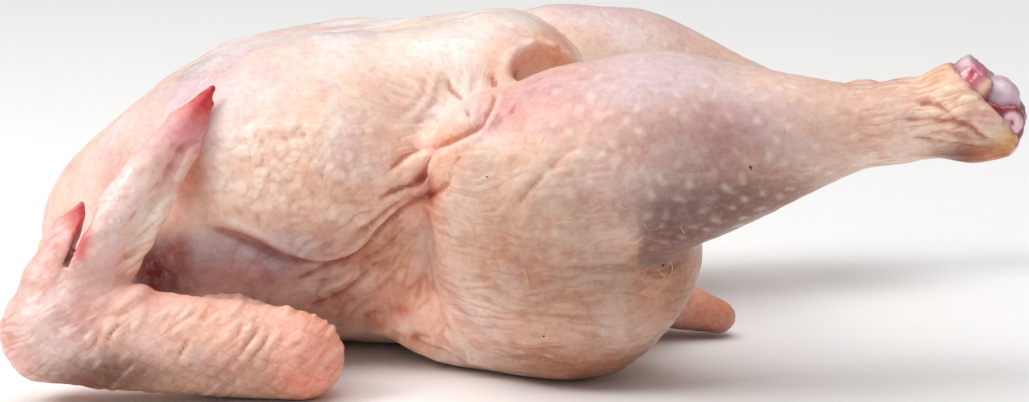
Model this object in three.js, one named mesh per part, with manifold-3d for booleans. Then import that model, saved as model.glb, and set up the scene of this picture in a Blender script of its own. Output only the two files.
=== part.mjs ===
// A whole raw chicken, plucked, drawn and headless, lying on its back with its legs stretched out behind.
// The bird is one solid: trunk, legs and wings grow out of each other. The two shin bones, whose joint
// ends show where the feet were cut off, are solids of their own that run up inside the drumsticks.
//
// Millimetres. +X points to the tail, +Z up from the table, and -Y is the bird's right side.
// The origin is on the table, under the middle of the back.
//
// The flesh is described by distance fields: ellipsoids and tapering limbs, joined with fillets. A grid
// turns each field into a closed skin of triangles, which manifold-3d joins and cuts.

import * as THREE from "three";
import { mergeVertices } from "three/addons/utils/BufferGeometryUtils.js";
import Module from "manifold-3d";

// ---------------------------------------------------------------- driving dimensions

const RIGHT = -1;
const LEFT = 1;

const BODY_GRID = { low: [-167, -129.7, -15.5], high: [160, 132, 118], cell: [8, 6.9, 6.8] };
const WING_GRID = { low: [-154, -102, -8], high: [-38, -20, 98], cell: [5.2, 4.5, 4.7] };
const TABLE_CUT = 0; // everything below this height is cut away, so the bird rests on a flat patch

const BREAST = {
  front: { x: -95, y: 19, z: 48.8, r: 36 },
  brow: { x: -78, y: 21, z: 56, r: 37.3 },
  middle: { x: -55.2, y: 23, z: 59.6, r: 38 },
  tip: { x: -6, y: 15, z: 72.7, r: 31 },
  keelBlend: 17, // the larger, the shallower the groove along the keel
};
const TRUNK = {
  crop: { at: [-102, 0, 36.2], radii: [47, 49, 36] },
  back: { at: [-36, 0, 34.5], radii: [94, 48, 35] },
  pelvis: { at: [10, 0, 27], radii: [41, 42, 28] },
  shoulder: { at: [-90, 43, 30], radii: [26, 15, 19] },
  flank: { at: [-5.2, 37.2, 15.8], radii: [35.2, 21.2, 17] },
  neckSkin: { at: [-136, 0, 17], radii: [17, 23, 13], turn: [0, 20, 0] },
};
const TAIL = { root: [38, 0, 15], tip: [64, 0, 6.6], rootRadius: 14, tipRadius: 7, flatness: 0.8 };

const CAVITY = { at: [-6, 0, 41], radii: [74, 31, 26], mouth: [52, 0, 46], mouthRadii: [34, 26, 24] };
const GROIN = { at: [23, 36, 86], radii: [17, 13, 17] }; // the hollow between breast tip and drumstick

// Thickness of the flesh along the shin, as [share of the way from knee to hock, radius].
const SHIN_FLESH = [
  [-0.1, 23],
  [0.0, 27],
  [0.12, 28.4],
  [0.26, 29.0],
  [0.38, 25.8],
  [0.48, 21.5],
  [0.6, 16.4],
  [0.73, 11.9],
  [0.82, 11.9],
  [0.9, 11.6],
  [0.97, 13.7],
  [1.06, 13.2],
];
const KNEE_WEB = { knee: [-6, 58, 74], breast: [-30, 51, 56], kneeRadius: 10, breastRadius: 5 };
// In each leg, cut is the plane that took the foot off: how far past the hock it lies and how far it leans back.
const LEGS = [
  {
    side: RIGHT,
    knee: [12, 63, 65.6],
    hock: [129, 88.5, 84.3],
    thigh: { at: [16.2, 49.8, 42.1], radii: [39.7, 33, 42.5], turn: [-13.4, 0, 0] },
    cut: { beyond: 7, lean: 34 },
  },
  {
    side: LEFT,
    knee: [10, 62, 73.6],
    hock: [128, 92, 55.8],
    thigh: { at: [16.2, 49.8, 42.1], radii: [39.7, 33, 42.5], turn: [13.4, 0, 0] },
    cut: { beyond: 6.5, lean: 14 },
  },
];
const HOCK_FLARE = { from: 0.91, lift: 5.4, radius: 9.7 }; // the swelling on top of the hock

const SHIN_BONE = {
  start: 22, // from the knee to the bone's upper end
  end: 11.5, // from the hock to the bone's lower end
  shaft: 4.2,
  head: 8,
  lift: 2.5, // how far the bone lies above the middle of the shin
  condyle: { radii: [4.6, 7, 7.6], apart: 7.6 },
  clearance: 0.36, // gap to the flesh, all round
};

const WING = {
  shoulder: [-106, 36, 17],
  elbow: [-62, 78, 12.5],
  wrist: [-131.7, 82, 20.5],
  knuckle: [-122.5, 79, 41],
  bone: [[-120.5, 79, 43], [-106, 67, 63], [-90, 51, 84]],
  boneRadii: [8, 6.4, 3.6],
  flap: [[-117.5, 77, 34], [-105, 68, 53.5], [-96.5, 60, 69.5], [-91, 52, 80.5]],
  flapRadii: [6, 5, 4.4, 3.6],
  thumb: [[-133, 81, 36], [-126, 75, 53]],
  thumbRadii: [7.2, 3.6],
};

// ---------------------------------------------------------------- distance fields

const mix = (a, b, t) => a + (b - a) * t;
const clamp01 = (t) => Math.min(1, Math.max(0, t));
const onSide = ([x, y, z], side) => [x, y * side, z];
const taper = (from, to) => (t) => mix(from, to, t);

// Distance to an ellipsoid, near enough beside its surface. It may be turned, in degrees about X, Y and Z.
function ellipsoid([cx, cy, cz], [rx, ry, rz], turn = [0, 0, 0]) {
  const euler = new THREE.Euler(...turn.map(THREE.MathUtils.degToRad), "XYZ");
  const m = new THREE.Matrix4().makeRotationFromEuler(euler).elements;
  return (x, y, z) => {
    const [dx, dy, dz] = [x - cx, y - cy, z - cz];
    const px = m[0] * dx + m[1] * dy + m[2] * dz;
    const py = m[4] * dx + m[5] * dy + m[6] * dz;
    const pz = m[8] * dx + m[9] * dy + m[10] * dz;
    const near = Math.hypot(px / rx, py / ry, pz / rz);
    const slope = Math.hypot(px / rx ** 2, py / ry ** 2, pz / rz ** 2);
    return slope < 1e-9 ? -Math.min(rx, ry, rz) : (near * (near - 1)) / slope;
  };
}

// Distance to a straight limb from a to b. radius(t) is its thickness at the share t of the way, with t
// running over reach, and it may be pressed to a share of its thickness along the direction across.
function limb(a, b, radius, { reach = [0, 1], across = [0, 1, 0], flatness = 1 } = {}) {
  const [ax, ay, az] = a;
  const axis = new THREE.Vector3(...b).sub(new THREE.Vector3(...a));
  const unit = axis.clone().normalize();
  const flat = new THREE.Vector3(...across);
  flat.addScaledVector(unit, -flat.dot(unit)).normalize();
  const length2 = axis.lengthSq();
  return (x, y, z) => {
    const along = ((x - ax) * axis.x + (y - ay) * axis.y + (z - az) * axis.z) / length2;
    const t = Math.min(reach[1], Math.max(reach[0], along));
    const qx = x - ax - t * axis.x;
    const qy = y - ay - t * axis.y;
    const qz = z - az - t * axis.z;
    const n = qx * flat.x + qy * flat.y + qz * flat.z;
    const rest2 = Math.max(qx * qx + qy * qy + qz * qz - n * n, 0);
    const stretched = Math.sqrt(rest2 + (n / flatness) ** 2);
    if (stretched < 1e-6) return -radius(t) * flatness;
    const slope = Math.sqrt(rest2 + (n / flatness ** 2) ** 2) / stretched;
    return (stretched - radius(t)) / slope;
  };
}

// A chain of limbs through points, with a radius at each point.
function chain(points, radii, options) {
  const pieces = points.slice(1).map((p, i) => limb(points[i], p, taper(radii[i], radii[i + 1]), options));
  return join(2, ...pieces);
}

// A smooth curve through rows of [share, value].
function through(rows) {
  const slope = (i) => {
    const [a, b] = [rows[Math.max(i - 1, 0)], rows[Math.min(i + 1, rows.length - 1)]];
    return (b[1] - a[1]) / (b[0] - a[0]);
  };
  return (t) => {
    let i = 0;
    while (i < rows.length - 2 && t > rows[i + 1][0]) i++;
    const [[t0, v0], [t1, v1]] = [rows[i], rows[i + 1]];
    const span = t1 - t0;
    const s = clamp01((t - t0) / span);
    const rise = s * s * (3 - 2 * s);
    return mix(v0, v1, rise) + s * (1 - s) * span * ((1 - s) * slope(i) - s * slope(i + 1));
  };
}

// Union with a fillet about k wide.
function join(k, ...fields) {
  return (x, y, z) => {
    let d = fields[0](x, y, z);
    for (let i = 1; i < fields.length; i++) {
      const e = fields[i](x, y, z);
      const h = Math.max(k - Math.abs(d - e), 0) / k;
      d = Math.min(d, e) - (h * h * k) / 4;
    }
    return d;
  };
}

// Takes one field out of another with a rounded edge about k wide.
function carve(k, solid, hole) {
  return (x, y, z) => {
    const d = solid(x, y, z);
    const e = -hole(x, y, z);
    const h = Math.max(k - Math.abs(d - e), 0) / k;
    return Math.max(d, e) + (h * h * k) / 4;
  };
}

// ---------------------------------------------------------------- the bird's parts

function breastField() {
  const half = (side) => {
    const spots = [BREAST.front, BREAST.brow, BREAST.middle, BREAST.tip];
    const at = spots.map((s) => [s.x, s.y * side, s.z]);
    return join(8, ...at.slice(1).map((end, n) => limb(at[n], end, taper(spots[n].r, spots[n + 1].r))));
  };
  return join(BREAST.keelBlend, half(RIGHT), half(LEFT));
}

function trunkField() {
  const lump = ({ at, radii, turn }, side = LEFT) => ellipsoid(onSide(at, side), radii, turn);
  const { root, tip, rootRadius, tipRadius, flatness } = TAIL;
  return join(
    10,
    breastField(),
    lump(TRUNK.crop),
    lump(TRUNK.back),
    lump(TRUNK.pelvis),
    lump(TRUNK.neckSkin),
    lump(TRUNK.shoulder, RIGHT),
    lump(TRUNK.shoulder, LEFT),
    lump(TRUNK.flank, RIGHT),
    lump(TRUNK.flank, LEFT),
    limb(root, tip, taper(rootRadius, tipRadius), { across: [0, 0, 1], flatness }),
  );
}

function legField({ side, knee, hock, thigh }) {
  const reach = [SHIN_FLESH[0][0], SHIN_FLESH.at(-1)[0]];
  const shin = limb(onSide(knee, side), onSide(hock, side), through(SHIN_FLESH), { reach });
  const upper = ellipsoid(onSide(thigh.at, side), thigh.radii, thigh.turn);
  const onTop = (share) => knee.map((k, axis) => mix(k, hock[axis], share) + (axis === 2 ? HOCK_FLARE.lift : 0));
  const flare = limb(onSide(onTop(HOCK_FLARE.from), side), onSide(onTop(1), side), () => HOCK_FLARE.radius);
  return join(7, upper, join(3, shin, flare));
}

function webField(side) {
  const { knee, breast, kneeRadius, breastRadius } = KNEE_WEB;
  return limb(onSide(knee, side), onSide(breast, side), taper(kneeRadius, breastRadius));
}

function bodyField() {
  const legs = join(2, ...LEGS.map(legField));
  const groin = (side) => ellipsoid(onSide(GROIN.at, side), GROIN.radii);
  const trunk = carve(6, trunkField(), join(2, groin(RIGHT), groin(LEFT)));
  const flesh = join(10, join(12, trunk, legs), webField(RIGHT), webField(LEFT));
  const cavity = join(10, ellipsoid(CAVITY.at, CAVITY.radii), ellipsoid(CAVITY.mouth, CAVITY.mouthRadii));
  return carve(10, flesh, cavity);
}

function wingField(side) {
  const at = (p) => onSide(p, side);
  const across = [0.3, 0.85 * side, 0.4];
  const forearm = through([
    [0, 12.3],
    [0.15, 13.6],
    [0.5, 14.4],
    [0.8, 15.0],
    [1, 13.6],
  ]);
  return join(
    5,
    limb(at(WING.shoulder), at(WING.elbow), taper(13, 10.5)),
    limb(at(WING.elbow), at(WING.wrist), forearm, { flatness: 0.82 }),
    limb(at(WING.wrist), at(WING.knuckle), taper(13.2, 11), { across, flatness: 0.75 }),
    chain(WING.bone.map(at), WING.boneRadii, { across, flatness: 0.8 }),
    chain(WING.flap.map(at), WING.flapRadii, { across, flatness: 0.8 }),
    chain(WING.thumb.map(at), WING.thumbRadii),
  );
}

// ---------------------------------------------------------------- skinning a field

// The corners of a grid cell, numbered so that bit n of a corner's number is its place along axis n, its
// twelve edges from a low corner to a high one, and the corners round each of its six faces.
const CORNERS = [0, 1, 2, 3, 4, 5, 6, 7].map((c) => [c & 1, (c >> 1) & 1, (c >> 2) & 1]);
const EDGES = CORNERS.flatMap((_, a) => [1, 2, 4].filter((bit) => !(a & bit)).map((bit) => [a, a | bit]));
const FACES = [0, 1, 2].flatMap((axis) => {
  const [u, v] = [1 << (axis + 1) % 3, 1 << (axis + 2) % 3];
  return [0, 1 << axis].map((side) => [side, side | u, side | u | v, side | v]);
});
const edgeBetween = (a, b) => EDGES.findIndex(([low, high]) => low === Math.min(a, b) && high === Math.max(a, b));

// Sorts the crossed edges of a cell into the separate sheets of surface that pass through it.
function sheetsOf(inside) {
  const sheet = EDGES.map(([a, b], n) => (inside[a] !== inside[b] ? n : -1));
  const merge = (m, n) => {
    const [keep, drop] = [sheet[m], sheet[n]];
    sheet.forEach((value, e) => value === drop && (sheet[e] = keep));
  };
  for (const face of FACES) {
    const around = face.map((c, n) => edgeBetween(c, face[(n + 1) % 4]));
    const crossed = around.filter((e) => sheet[e] >= 0);
    if (crossed.length === 2) merge(...crossed);
    if (crossed.length === 4) face.forEach((c, n) => inside[c] && merge(around[n], around[(n + 3) % 4]));
  }
  return [...new Set(sheet.filter((n) => n >= 0))].map((n) => EDGES.map((_, e) => e).filter((e) => sheet[e] === n));
}

// One closed triangle mesh round a field: a vertex for each sheet of surface in each grid cell, drawn on
// to the surface and evened out along it.
function skinned(field, { low, high, cell }) {
  const count = low.map((l, axis) => Math.ceil((high[axis] - l) / cell[axis]) + 1);
  const [nx, ny, nz] = count;
  const index = (i, j, k) => i + nx * (j + ny * k);
  const at = (i, j, k) => [low[0] + i * cell[0], low[1] + j * cell[1], low[2] + k * cell[2]];
  const values = new Float64Array(nx * ny * nz);
  const eachCell = (from, visit) => {
    for (let k = from; k < nz - 1; k++)
      for (let j = from; j < ny - 1; j++) for (let i = from; i < nx - 1; i++) visit(i, j, k);
  };
  for (let k = 0; k < nz; k++)
    for (let j = 0; j < ny; j++)
      for (let i = 0; i < nx; i++) values[index(i, j, k)] = field(...at(i, j, k));

  const points = [];
  const vertices = new Map(); // cell -> the vertex that serves each of its crossed edges
  eachCell(0, (i, j, k) => {
    const v = CORNERS.map(([a, b, c]) => values[index(i + a, j + b, k + c)]);
    const inside = v.map((value) => value < 0);
    if (inside.every(Boolean) || !inside.some(Boolean)) return;
    const serving = new Map();
    for (const sheet of sheetsOf(inside)) {
      const sum = [0, 0, 0];
      for (const [a, b] of sheet.map((e) => EDGES[e]))
        sum.forEach((_, n) => (sum[n] += mix(CORNERS[a][n], CORNERS[b][n], v[a] / (v[a] - v[b]))));
      for (const e of sheet) serving.set(e, points.length);
      const shares = sum.map((total, n) => (total / sheet.length) * cell[n]);
      points.push(new THREE.Vector3(...at(i, j, k)).add(new THREE.Vector3(...shares)));
    }
    vertices.set(index(i, j, k), serving);
  });

  const quads = [];
  eachCell(1, (i, j, k) => {
    const inside = values[index(i, j, k)] < 0;
    for (let axis = 0; axis < 3; axis++) {
      const next = [i, j, k];
      next[axis]++;
      if (values[index(...next)] < 0 === inside) continue;
      const [u, v] = [1 << (axis + 1) % 3, 1 << (axis + 2) % 3];
      const around = [0, u, u | v, v].map((corner) => {
        const [a, b, c] = CORNERS[corner];
        return vertices.get(index(i - a, j - b, k - c)).get(edgeBetween(corner, corner | (1 << axis)));
      });
      quads.push(inside ? around : around.reverse());
    }
  });

  evenOut(points, quads, field, Math.min(...cell));
  const triangles = quads.flatMap(([a, b, c, d]) =>
    points[a].distanceTo(points[c]) < points[b].distanceTo(points[d]) ? [a, b, c, a, c, d] : [b, c, d, b, d, a],
  );
  return new THREE.BufferGeometry()
    .setAttribute("position", new THREE.Float32BufferAttribute(points.flatMap((p) => p.toArray()), 3))
    .setIndex(triangles);
}

// Draws each vertex towards the middle of its neighbours, then back on to the surface, a few times over.
function evenOut(points, quads, field, cell) {
  const neighbours = points.map(() => new Set());
  for (const q of quads)
    q.forEach((a, n) => {
      neighbours[a].add(q[(n + 1) % 4]);
      neighbours[a].add(q[(n + 3) % 4]);
    });
  const middles = points.map(() => new THREE.Vector3());
  for (let pass = 0; pass < 4; pass++) {
    neighbours.forEach((around, n) => {
      middles[n].set(0, 0, 0);
      for (const m of around) middles[n].addScaledVector(points[m], 1 / around.size);
    });
    points.forEach((p, n) => settle(p.lerp(middles[n], pass < 3 ? 0.5 : 0.2), field, cell));
  }
}

// Moves a point on to the field's surface in Newton steps, no further than a fifth of a cell in all.
function settle(p, field, cell) {
  const step = cell * 0.2;
  const start = p.clone();
  const slope = new THREE.Vector3();
  for (let n = 0; n < 3; n++) {
    slope.set(
      field(p.x + step, p.y, p.z) - field(p.x - step, p.y, p.z),
      field(p.x, p.y + step, p.z) - field(p.x, p.y - step, p.z),
      field(p.x, p.y, p.z + step) - field(p.x, p.y, p.z - step),
    );
    slope.divideScalar(2 * step);
    p.addScaledVector(slope, -field(p.x, p.y, p.z) / Math.max(slope.lengthSq(), 0.5));
  }
  const moved = p.distanceTo(start);
  if (moved > cell * 0.2) p.lerpVectors(start, p, (cell * 0.2) / moved);
}

// ---------------------------------------------------------------- solids

const wasm = await Module();
wasm.setup();

// A closed geometry as a solid that can be joined and cut.
function solidOf(geometry) {
  const bare = geometry.clone();
  bare.deleteAttribute("normal");
  bare.deleteAttribute("uv");
  const merged = mergeVertices(bare, 1e-4);
  return new wasm.Manifold(
    new wasm.Mesh({
      numProp: 3,
      vertProperties: merged.attributes.position.array,
      triVerts: new Uint32Array(merged.index.array),
    }),
  );
}

function geometryOf(solid) {
  const mesh = solid.getMesh();
  const geometry = new THREE.BufferGeometry();
  geometry.setAttribute("position", new THREE.Float32BufferAttribute(mesh.vertProperties, 3));
  geometry.setIndex(new THREE.BufferAttribute(mesh.triVerts, 1));
  geometry.computeVertexNormals();
  return geometry;
}

// The frame of one shin: its origin at the knee, +Z along the shin and +X as level as it can be.
function shinFrame({ side, knee, hock }) {
  const from = new THREE.Vector3(...onSide(knee, side));
  const to = new THREE.Vector3(...onSide(hock, side));
  const along = to.clone().sub(from).normalize();
  const level = new THREE.Vector3(0, 0, 1).cross(along).normalize();
  const upward = along.clone().cross(level);
  const matrix = new THREE.Matrix4().makeBasis(level, upward, along).setPosition(from);
  return { matrix, length: from.distanceTo(to) };
}

// The shin bone with its two condyles at the hock, swollen by grow all round.
function shinBone(leg, grow = 0) {
  const { matrix, length } = shinFrame(leg);
  const { start, end, shaft, head, lift, condyle } = SHIN_BONE;
  const top = length + end - condyle.radii[2];
  const outline = [
    [0, start - grow],
    [head * 0.7 + grow, start - grow],
    [head + grow, start + head * 0.6],
    [shaft + grow, start + head * 3],
    [shaft + grow, top - condyle.radii[2] * 2],
    [shaft * 1.35 + grow, top],
    [0, top + grow],
  ];
  const stem = new THREE.LatheGeometry(outline.map(([r, z]) => new THREE.Vector2(r, z)), 12).rotateX(Math.PI / 2);
  const lobe = (side) =>
    new THREE.SphereGeometry(1, 14, 10)
      .scale(...condyle.radii.map((r) => r + grow))
      .translate((side * condyle.apart) / 2, 0, top);
  const pieces = [stem, lobe(RIGHT), lobe(LEFT)].map((g) => solidOf(g.translate(0, lift, 0).applyMatrix4(matrix)));
  return pieces.reduce((all, piece) => all.add(piece));
}

// What the cut that took the foot off removes: everything past a slanting plane near the hock.
function footCut(leg) {
  const { matrix, length } = shinFrame(leg);
  const half = 40;
  return solidOf(
    new THREE.BoxGeometry(2 * half, 2 * half, 2 * half)
      .translate(0, 0, half)
      .rotateX(-THREE.MathUtils.degToRad(leg.cut.lean))
      .translate(0, 0, length + leg.cut.beyond)
      .applyMatrix4(matrix),
  );
}

function wholeBird() {
  const body = solidOf(skinned(bodyField(), BODY_GRID));
  const rightWing = solidOf(skinned(wingField(RIGHT), WING_GRID));
  const leftWing = rightWing.mirror([0, 1, 0]);
  const table = 400;
  const under = new THREE.BoxGeometry(table, table, table).translate(0, 0, TABLE_CUT - table / 2);
  let bird = body.add(rightWing).add(leftWing).subtract(solidOf(under));
  for (const leg of LEGS) bird = bird.subtract(footCut(leg)).subtract(shinBone(leg, SHIN_BONE.clearance));
  return bird;
}

// ---------------------------------------------------------------- the part

const SKIN = new THREE.MeshStandardMaterial({ color: 0xe8cdbd, roughness: 0.45, metalness: 0 });
const BONE = new THREE.MeshStandardMaterial({ color: 0xe3d6dc, roughness: 0.3, metalness: 0 });

const part = new THREE.Group();
function addPiece(name, solid, material) {
  const mesh = new THREE.Mesh(geometryOf(solid), material);
  mesh.name = name;
  part.add(mesh);
}
addPiece("chicken", wholeBird(), SKIN);
addPiece("right_leg_bone", shinBone(LEGS[0]), BONE);
addPiece("left_leg_bone", shinBone(LEGS[1]), BONE);
export default part;
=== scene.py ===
"""A whole raw chicken on its back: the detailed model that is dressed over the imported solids.

The flesh is described by distance fields in millimetres, in the same frame as the solids: +X to the tail,
+Z up and -Y to the bird's right. Each field is skinned by a fine grid, folded, tinted and then shaded.
"""

import logging
import math
from dataclasses import dataclass, field
from enum import Enum
from typing import Callable, Iterable, Sequence

import bpy
import numpy as np
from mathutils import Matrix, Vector

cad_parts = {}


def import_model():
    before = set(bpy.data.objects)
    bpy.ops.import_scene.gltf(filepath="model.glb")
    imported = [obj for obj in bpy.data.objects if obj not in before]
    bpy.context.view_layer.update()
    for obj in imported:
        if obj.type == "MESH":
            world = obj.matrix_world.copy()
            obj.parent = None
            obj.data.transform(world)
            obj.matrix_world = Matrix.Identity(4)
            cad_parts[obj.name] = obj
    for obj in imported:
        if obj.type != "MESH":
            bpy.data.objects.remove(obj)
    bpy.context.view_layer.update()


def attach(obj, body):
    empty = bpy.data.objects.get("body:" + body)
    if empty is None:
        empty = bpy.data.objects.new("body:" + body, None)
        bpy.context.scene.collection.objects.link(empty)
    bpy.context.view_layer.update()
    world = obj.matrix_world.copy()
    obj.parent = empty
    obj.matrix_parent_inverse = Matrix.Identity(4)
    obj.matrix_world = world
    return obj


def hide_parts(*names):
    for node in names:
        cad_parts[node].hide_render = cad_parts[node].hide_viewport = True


LOG = logging.getLogger("raw_chicken")
MM = 0.001  # millimetres to metres
RIGHT, LEFT = SIDES = (-1.0, 1.0)

REST_HEIGHT = 0.02  # millimetres between the flat under the bird and the table
OTHER_SIDE = 300.0  # how far the left side is moved in noise, to differ from the right

Row = Sequence[float]
Point = tuple[float, float, float]
Ball = tuple[float, float, float, float]  # x, y, z and radius
Line = tuple[float, ...]  # x, z, x, z and so on
Egg = tuple[Point, Point]  # middle and half sizes
Path = tuple[Point, ...]
Curve = tuple[tuple[float, float], ...]
Colour = tuple[float, float, float]
Object, Material, Node = bpy.types.Object, bpy.types.Material, bpy.types.Node
NodeTree, Socket = bpy.types.NodeTree, bpy.types.NodeSocket
Points = np.ndarray  # (n, 3) places in millimetres
Values = np.ndarray  # (n,) one number for each place
Masks = tuple[Values, Values, Values]
Field = Callable[[Points], Values]


# ---- small helpers


def srgb(red: int, green: int, blue: int) -> Colour:
    """Turns a display colour of 0 to 255 into the linear colour that shaders use."""
    return tuple(((c / 255 + 0.055) / 1.055) ** 2.4 if c > 10 else c / 255 / 12.92 for c in (red, green, blue))


def on_side(point: Row, side: float) -> np.ndarray:
    """Gives a place on the bird's right or left side."""
    return np.array([point[0], point[1] * side, point[2]], float)


def smooth(values: Values, low: float, high: float) -> Values:
    """Rises smoothly from 0 at low to 1 at high; high may be the lower number."""
    t = np.clip((values - low) / (high - low), 0.0, 1.0)
    return t * t * (3 - 2 * t)


def stack(*columns: Values) -> np.ndarray:
    """Puts three rows of numbers side by side."""
    return np.stack(columns, 1)


def toward(colours: np.ndarray | Colour, other: np.ndarray | Colour, share: Values) -> np.ndarray:
    """Mixes rows of colour with another colour, which each row takes on by its own share."""
    weight = share[:, None]
    return np.asarray(colours) * (1 - weight) + np.asarray(other) * weight


def curve_through(rows: Sequence[tuple[float, float]]) -> Callable[[Values], Values]:
    """Makes a smooth curve through rows of (share, value).

    Args:
        rows: places along the curve, with the value at each.

    Returns:
        A function that gives the value at any share.
    """
    ts, vs = (np.array(column, float) for column in zip(*rows))
    slopes = np.gradient(vs, ts)
    slopes[1:-1] = (vs[2:] - vs[:-2]) / (ts[2:] - ts[:-2])

    def value(t: Values) -> Values:
        """Reads the curve at some shares."""
        i = np.clip(np.searchsorted(ts, t, side="right") - 1, 0, len(ts) - 2)
        span = ts[i + 1] - ts[i]
        s = np.clip((t - ts[i]) / span, 0.0, 1.0)
        rise = s * s * (3 - 2 * s)
        bend = s * (1 - s) * span * ((1 - s) * slopes[i] - s * slopes[i + 1])
        return vs[i] + (vs[i + 1] - vs[i]) * rise + bend

    return value


def turned(turn: Row) -> np.ndarray:
    """Gives the matrix of turns about X, then Y, then Z, in degrees."""
    (cx, sx), (cy, sy), (cz, sz) = ((math.cos(math.radians(a)), math.sin(math.radians(a))) for a in turn)
    about_x = np.array([[1, 0, 0], [0, cx, -sx], [0, sx, cx]])
    about_y = np.array([[cy, 0, sy], [0, 1, 0], [-sy, 0, cy]])
    about_z = np.array([[cz, -sz, 0], [sz, cz, 0], [0, 0, 1]])
    return about_x @ about_y @ about_z


# ---- distance fields


def ellipsoid(at: Row, radii: Row, turn: Row = (0, 0, 0)) -> Field:
    """Distance to an ellipsoid, near enough beside its surface.

    Args:
        at: its middle.
        radii: its three half-lengths.
        turn: how it is turned, in degrees about X, Y and Z.

    Returns:
        The field.
    """
    middle, size, matrix = np.array(at, float), np.array(radii, float), turned(turn)

    def distance(p: Points) -> Values:
        """Measures from the ellipsoid."""
        local = (p - middle) @ matrix
        near = np.sqrt(((local / size) ** 2).sum(1))
        slope = np.sqrt(((local / size**2) ** 2).sum(1))
        return near * (near - 1) / np.maximum(slope, 1e-9)

    return distance


def limb(
    start: Row,
    end: Row,
    radius: Callable[[Values], Values],
    reach: tuple[float, float] = (0.0, 1.0),
    across: Row = (0, 1, 0),
    flatness: float = 1.0,
) -> Field:
    """Distance to a straight limb whose thickness changes along its length.

    Args:
        start: where share 0 lies.
        end: where share 1 lies.
        radius: the thickness at a share of the way.
        reach: the shares between which the limb runs.
        across: the direction in which it is pressed flat.
        flatness: the share of its thickness that is left in that direction.

    Returns:
        The field.
    """
    a, b = np.array(start, float), np.array(end, float)
    axis = b - a
    flat = np.array(across, float)
    flat = flat - axis * flat.dot(axis) / axis.dot(axis)
    flat /= np.linalg.norm(flat)

    def distance(p: Points) -> Values:
        """Measures from the limb."""
        q = p - a
        t = np.clip(q @ axis / axis.dot(axis), *reach)
        q = q - t[:, None] * axis
        n = q @ flat
        rest2 = np.maximum((q**2).sum(1) - n * n, 0)
        stretched = np.maximum(np.sqrt(rest2 + (n / flatness) ** 2), 1e-6)
        slope = np.sqrt(rest2 + (n / flatness**2) ** 2) / stretched
        return (stretched - radius(t)) / np.maximum(slope, 0.2)

    return distance


def taper(start: float, end: float) -> Callable[[Values], Values]:
    """Gives a thickness that changes evenly from one end to the other."""
    return lambda t: start + (end - start) * t


def chain(points: Iterable[Row], radii: Row, **options: object) -> Field:
    """Joins limbs through a row of points, with a radius at each point."""
    at = list(points)
    pieces = [limb(at[i], at[i + 1], taper(radii[i], radii[i + 1]), **options) for i in range(len(at) - 1)]
    return join(2.0, *pieces)


def join(width: float | Callable[[Points], Values], *fields: Field) -> Field:
    """Unites fields with a fillet about so wide; the width may change from place to place."""

    def distance(p: Points) -> Values:
        """Measures from all the fields in one."""
        k = width(p) if callable(width) else width
        d = fields[0](p)
        for other in fields[1:]:
            e = other(p)
            h = np.maximum(k - np.abs(d - e), 0) / k
            d = np.minimum(d, e) - h * h * k / 4
        return d

    return distance


def carve(width: float, solid: Field, hole: Field) -> Field:
    """Takes one field out of another, with an edge rounded about so wide."""

    def distance(p: Points) -> Values:
        """Measures from what is left of the solid."""
        d, e = solid(p), -hole(p)
        h = np.maximum(width - np.abs(d - e), 0) / width
        return np.maximum(d, e) + h * h * width / 4

    return distance


def half_space(at: Row, outward: Row) -> Field:
    """Distance to everything that lies behind a plane, which faces outward."""
    normal = np.array(outward, float) / np.linalg.norm(outward)
    return lambda p: (p - np.array(at, float)) @ normal


def outlined(corners: Sequence[tuple[float, float]]) -> Callable[[Values, Values], Values]:
    """The signed distance from a closed flat outline, negative inside it."""
    ring = list(zip(corners, (*corners[1:], corners[0])))

    def distance(u: Values, v: Values) -> Values:
        """Measures from the nearest edge."""
        best, inside = np.full(len(u), 1e9), np.zeros(len(u), bool)
        for (ax, ay), (bx, by) in ring:
            ex, ey = bx - ax, by - ay
            t = np.clip(((u - ax) * ex + (v - ay) * ey) / (ex * ex + ey * ey), 0, 1)
            best = np.minimum(best, np.hypot(u - ax - t * ex, v - ay - t * ey))
            inside ^= ((ay > v) != (by > v)) & (u < (v - ay) * ex / (ey or 1.0) + ax)
        return np.where(inside, -best, best)

    return distance


# ---- noise, for folds pressed into the mesh


class Noise:
    """Smooth random relief with a fixed seed, for folds and lumps that are pressed into a mesh."""

    def __init__(self, seed: int) -> None:
        """Draws the table of slopes."""
        rng = np.random.RandomState(seed)
        self.order = np.concatenate([rng.permutation(256)] * 3)
        slopes = rng.normal(size=(256, 3))
        self.slopes = slopes / np.linalg.norm(slopes, axis=1)[:, None]

    def __call__(self, p: Points) -> Values:
        """Gives the noise at each place, from about -1 to 1, with features about one unit wide."""
        cell = np.floor(p).astype(int)
        f = p - cell
        w = f * f * f * (f * (f * 6 - 15) + 10)
        total = np.zeros(len(p))
        for i in (0, 1):
            for j in (0, 1):
                for k in (0, 1):
                    x, y, z = ((cell + [i, j, k]) & 255).T
                    slope = self.slopes[self.order[self.order[self.order[x] + y] + z]]
                    reach = (slope * (f - [i, j, k])).sum(1)
                    total += reach * np.prod([w[:, n] if on else 1 - w[:, n] for n, on in enumerate((i, j, k))], axis=0)
        return total * 1.6

    def pleated(self, p: Points) -> Values:
        """Gives rounded swells that meet in creases, from about -0.5 in a crease to 1."""
        return 2 * np.sqrt(self(p) ** 2 + 0.012) - 0.7


# ---- skinning a field


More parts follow.
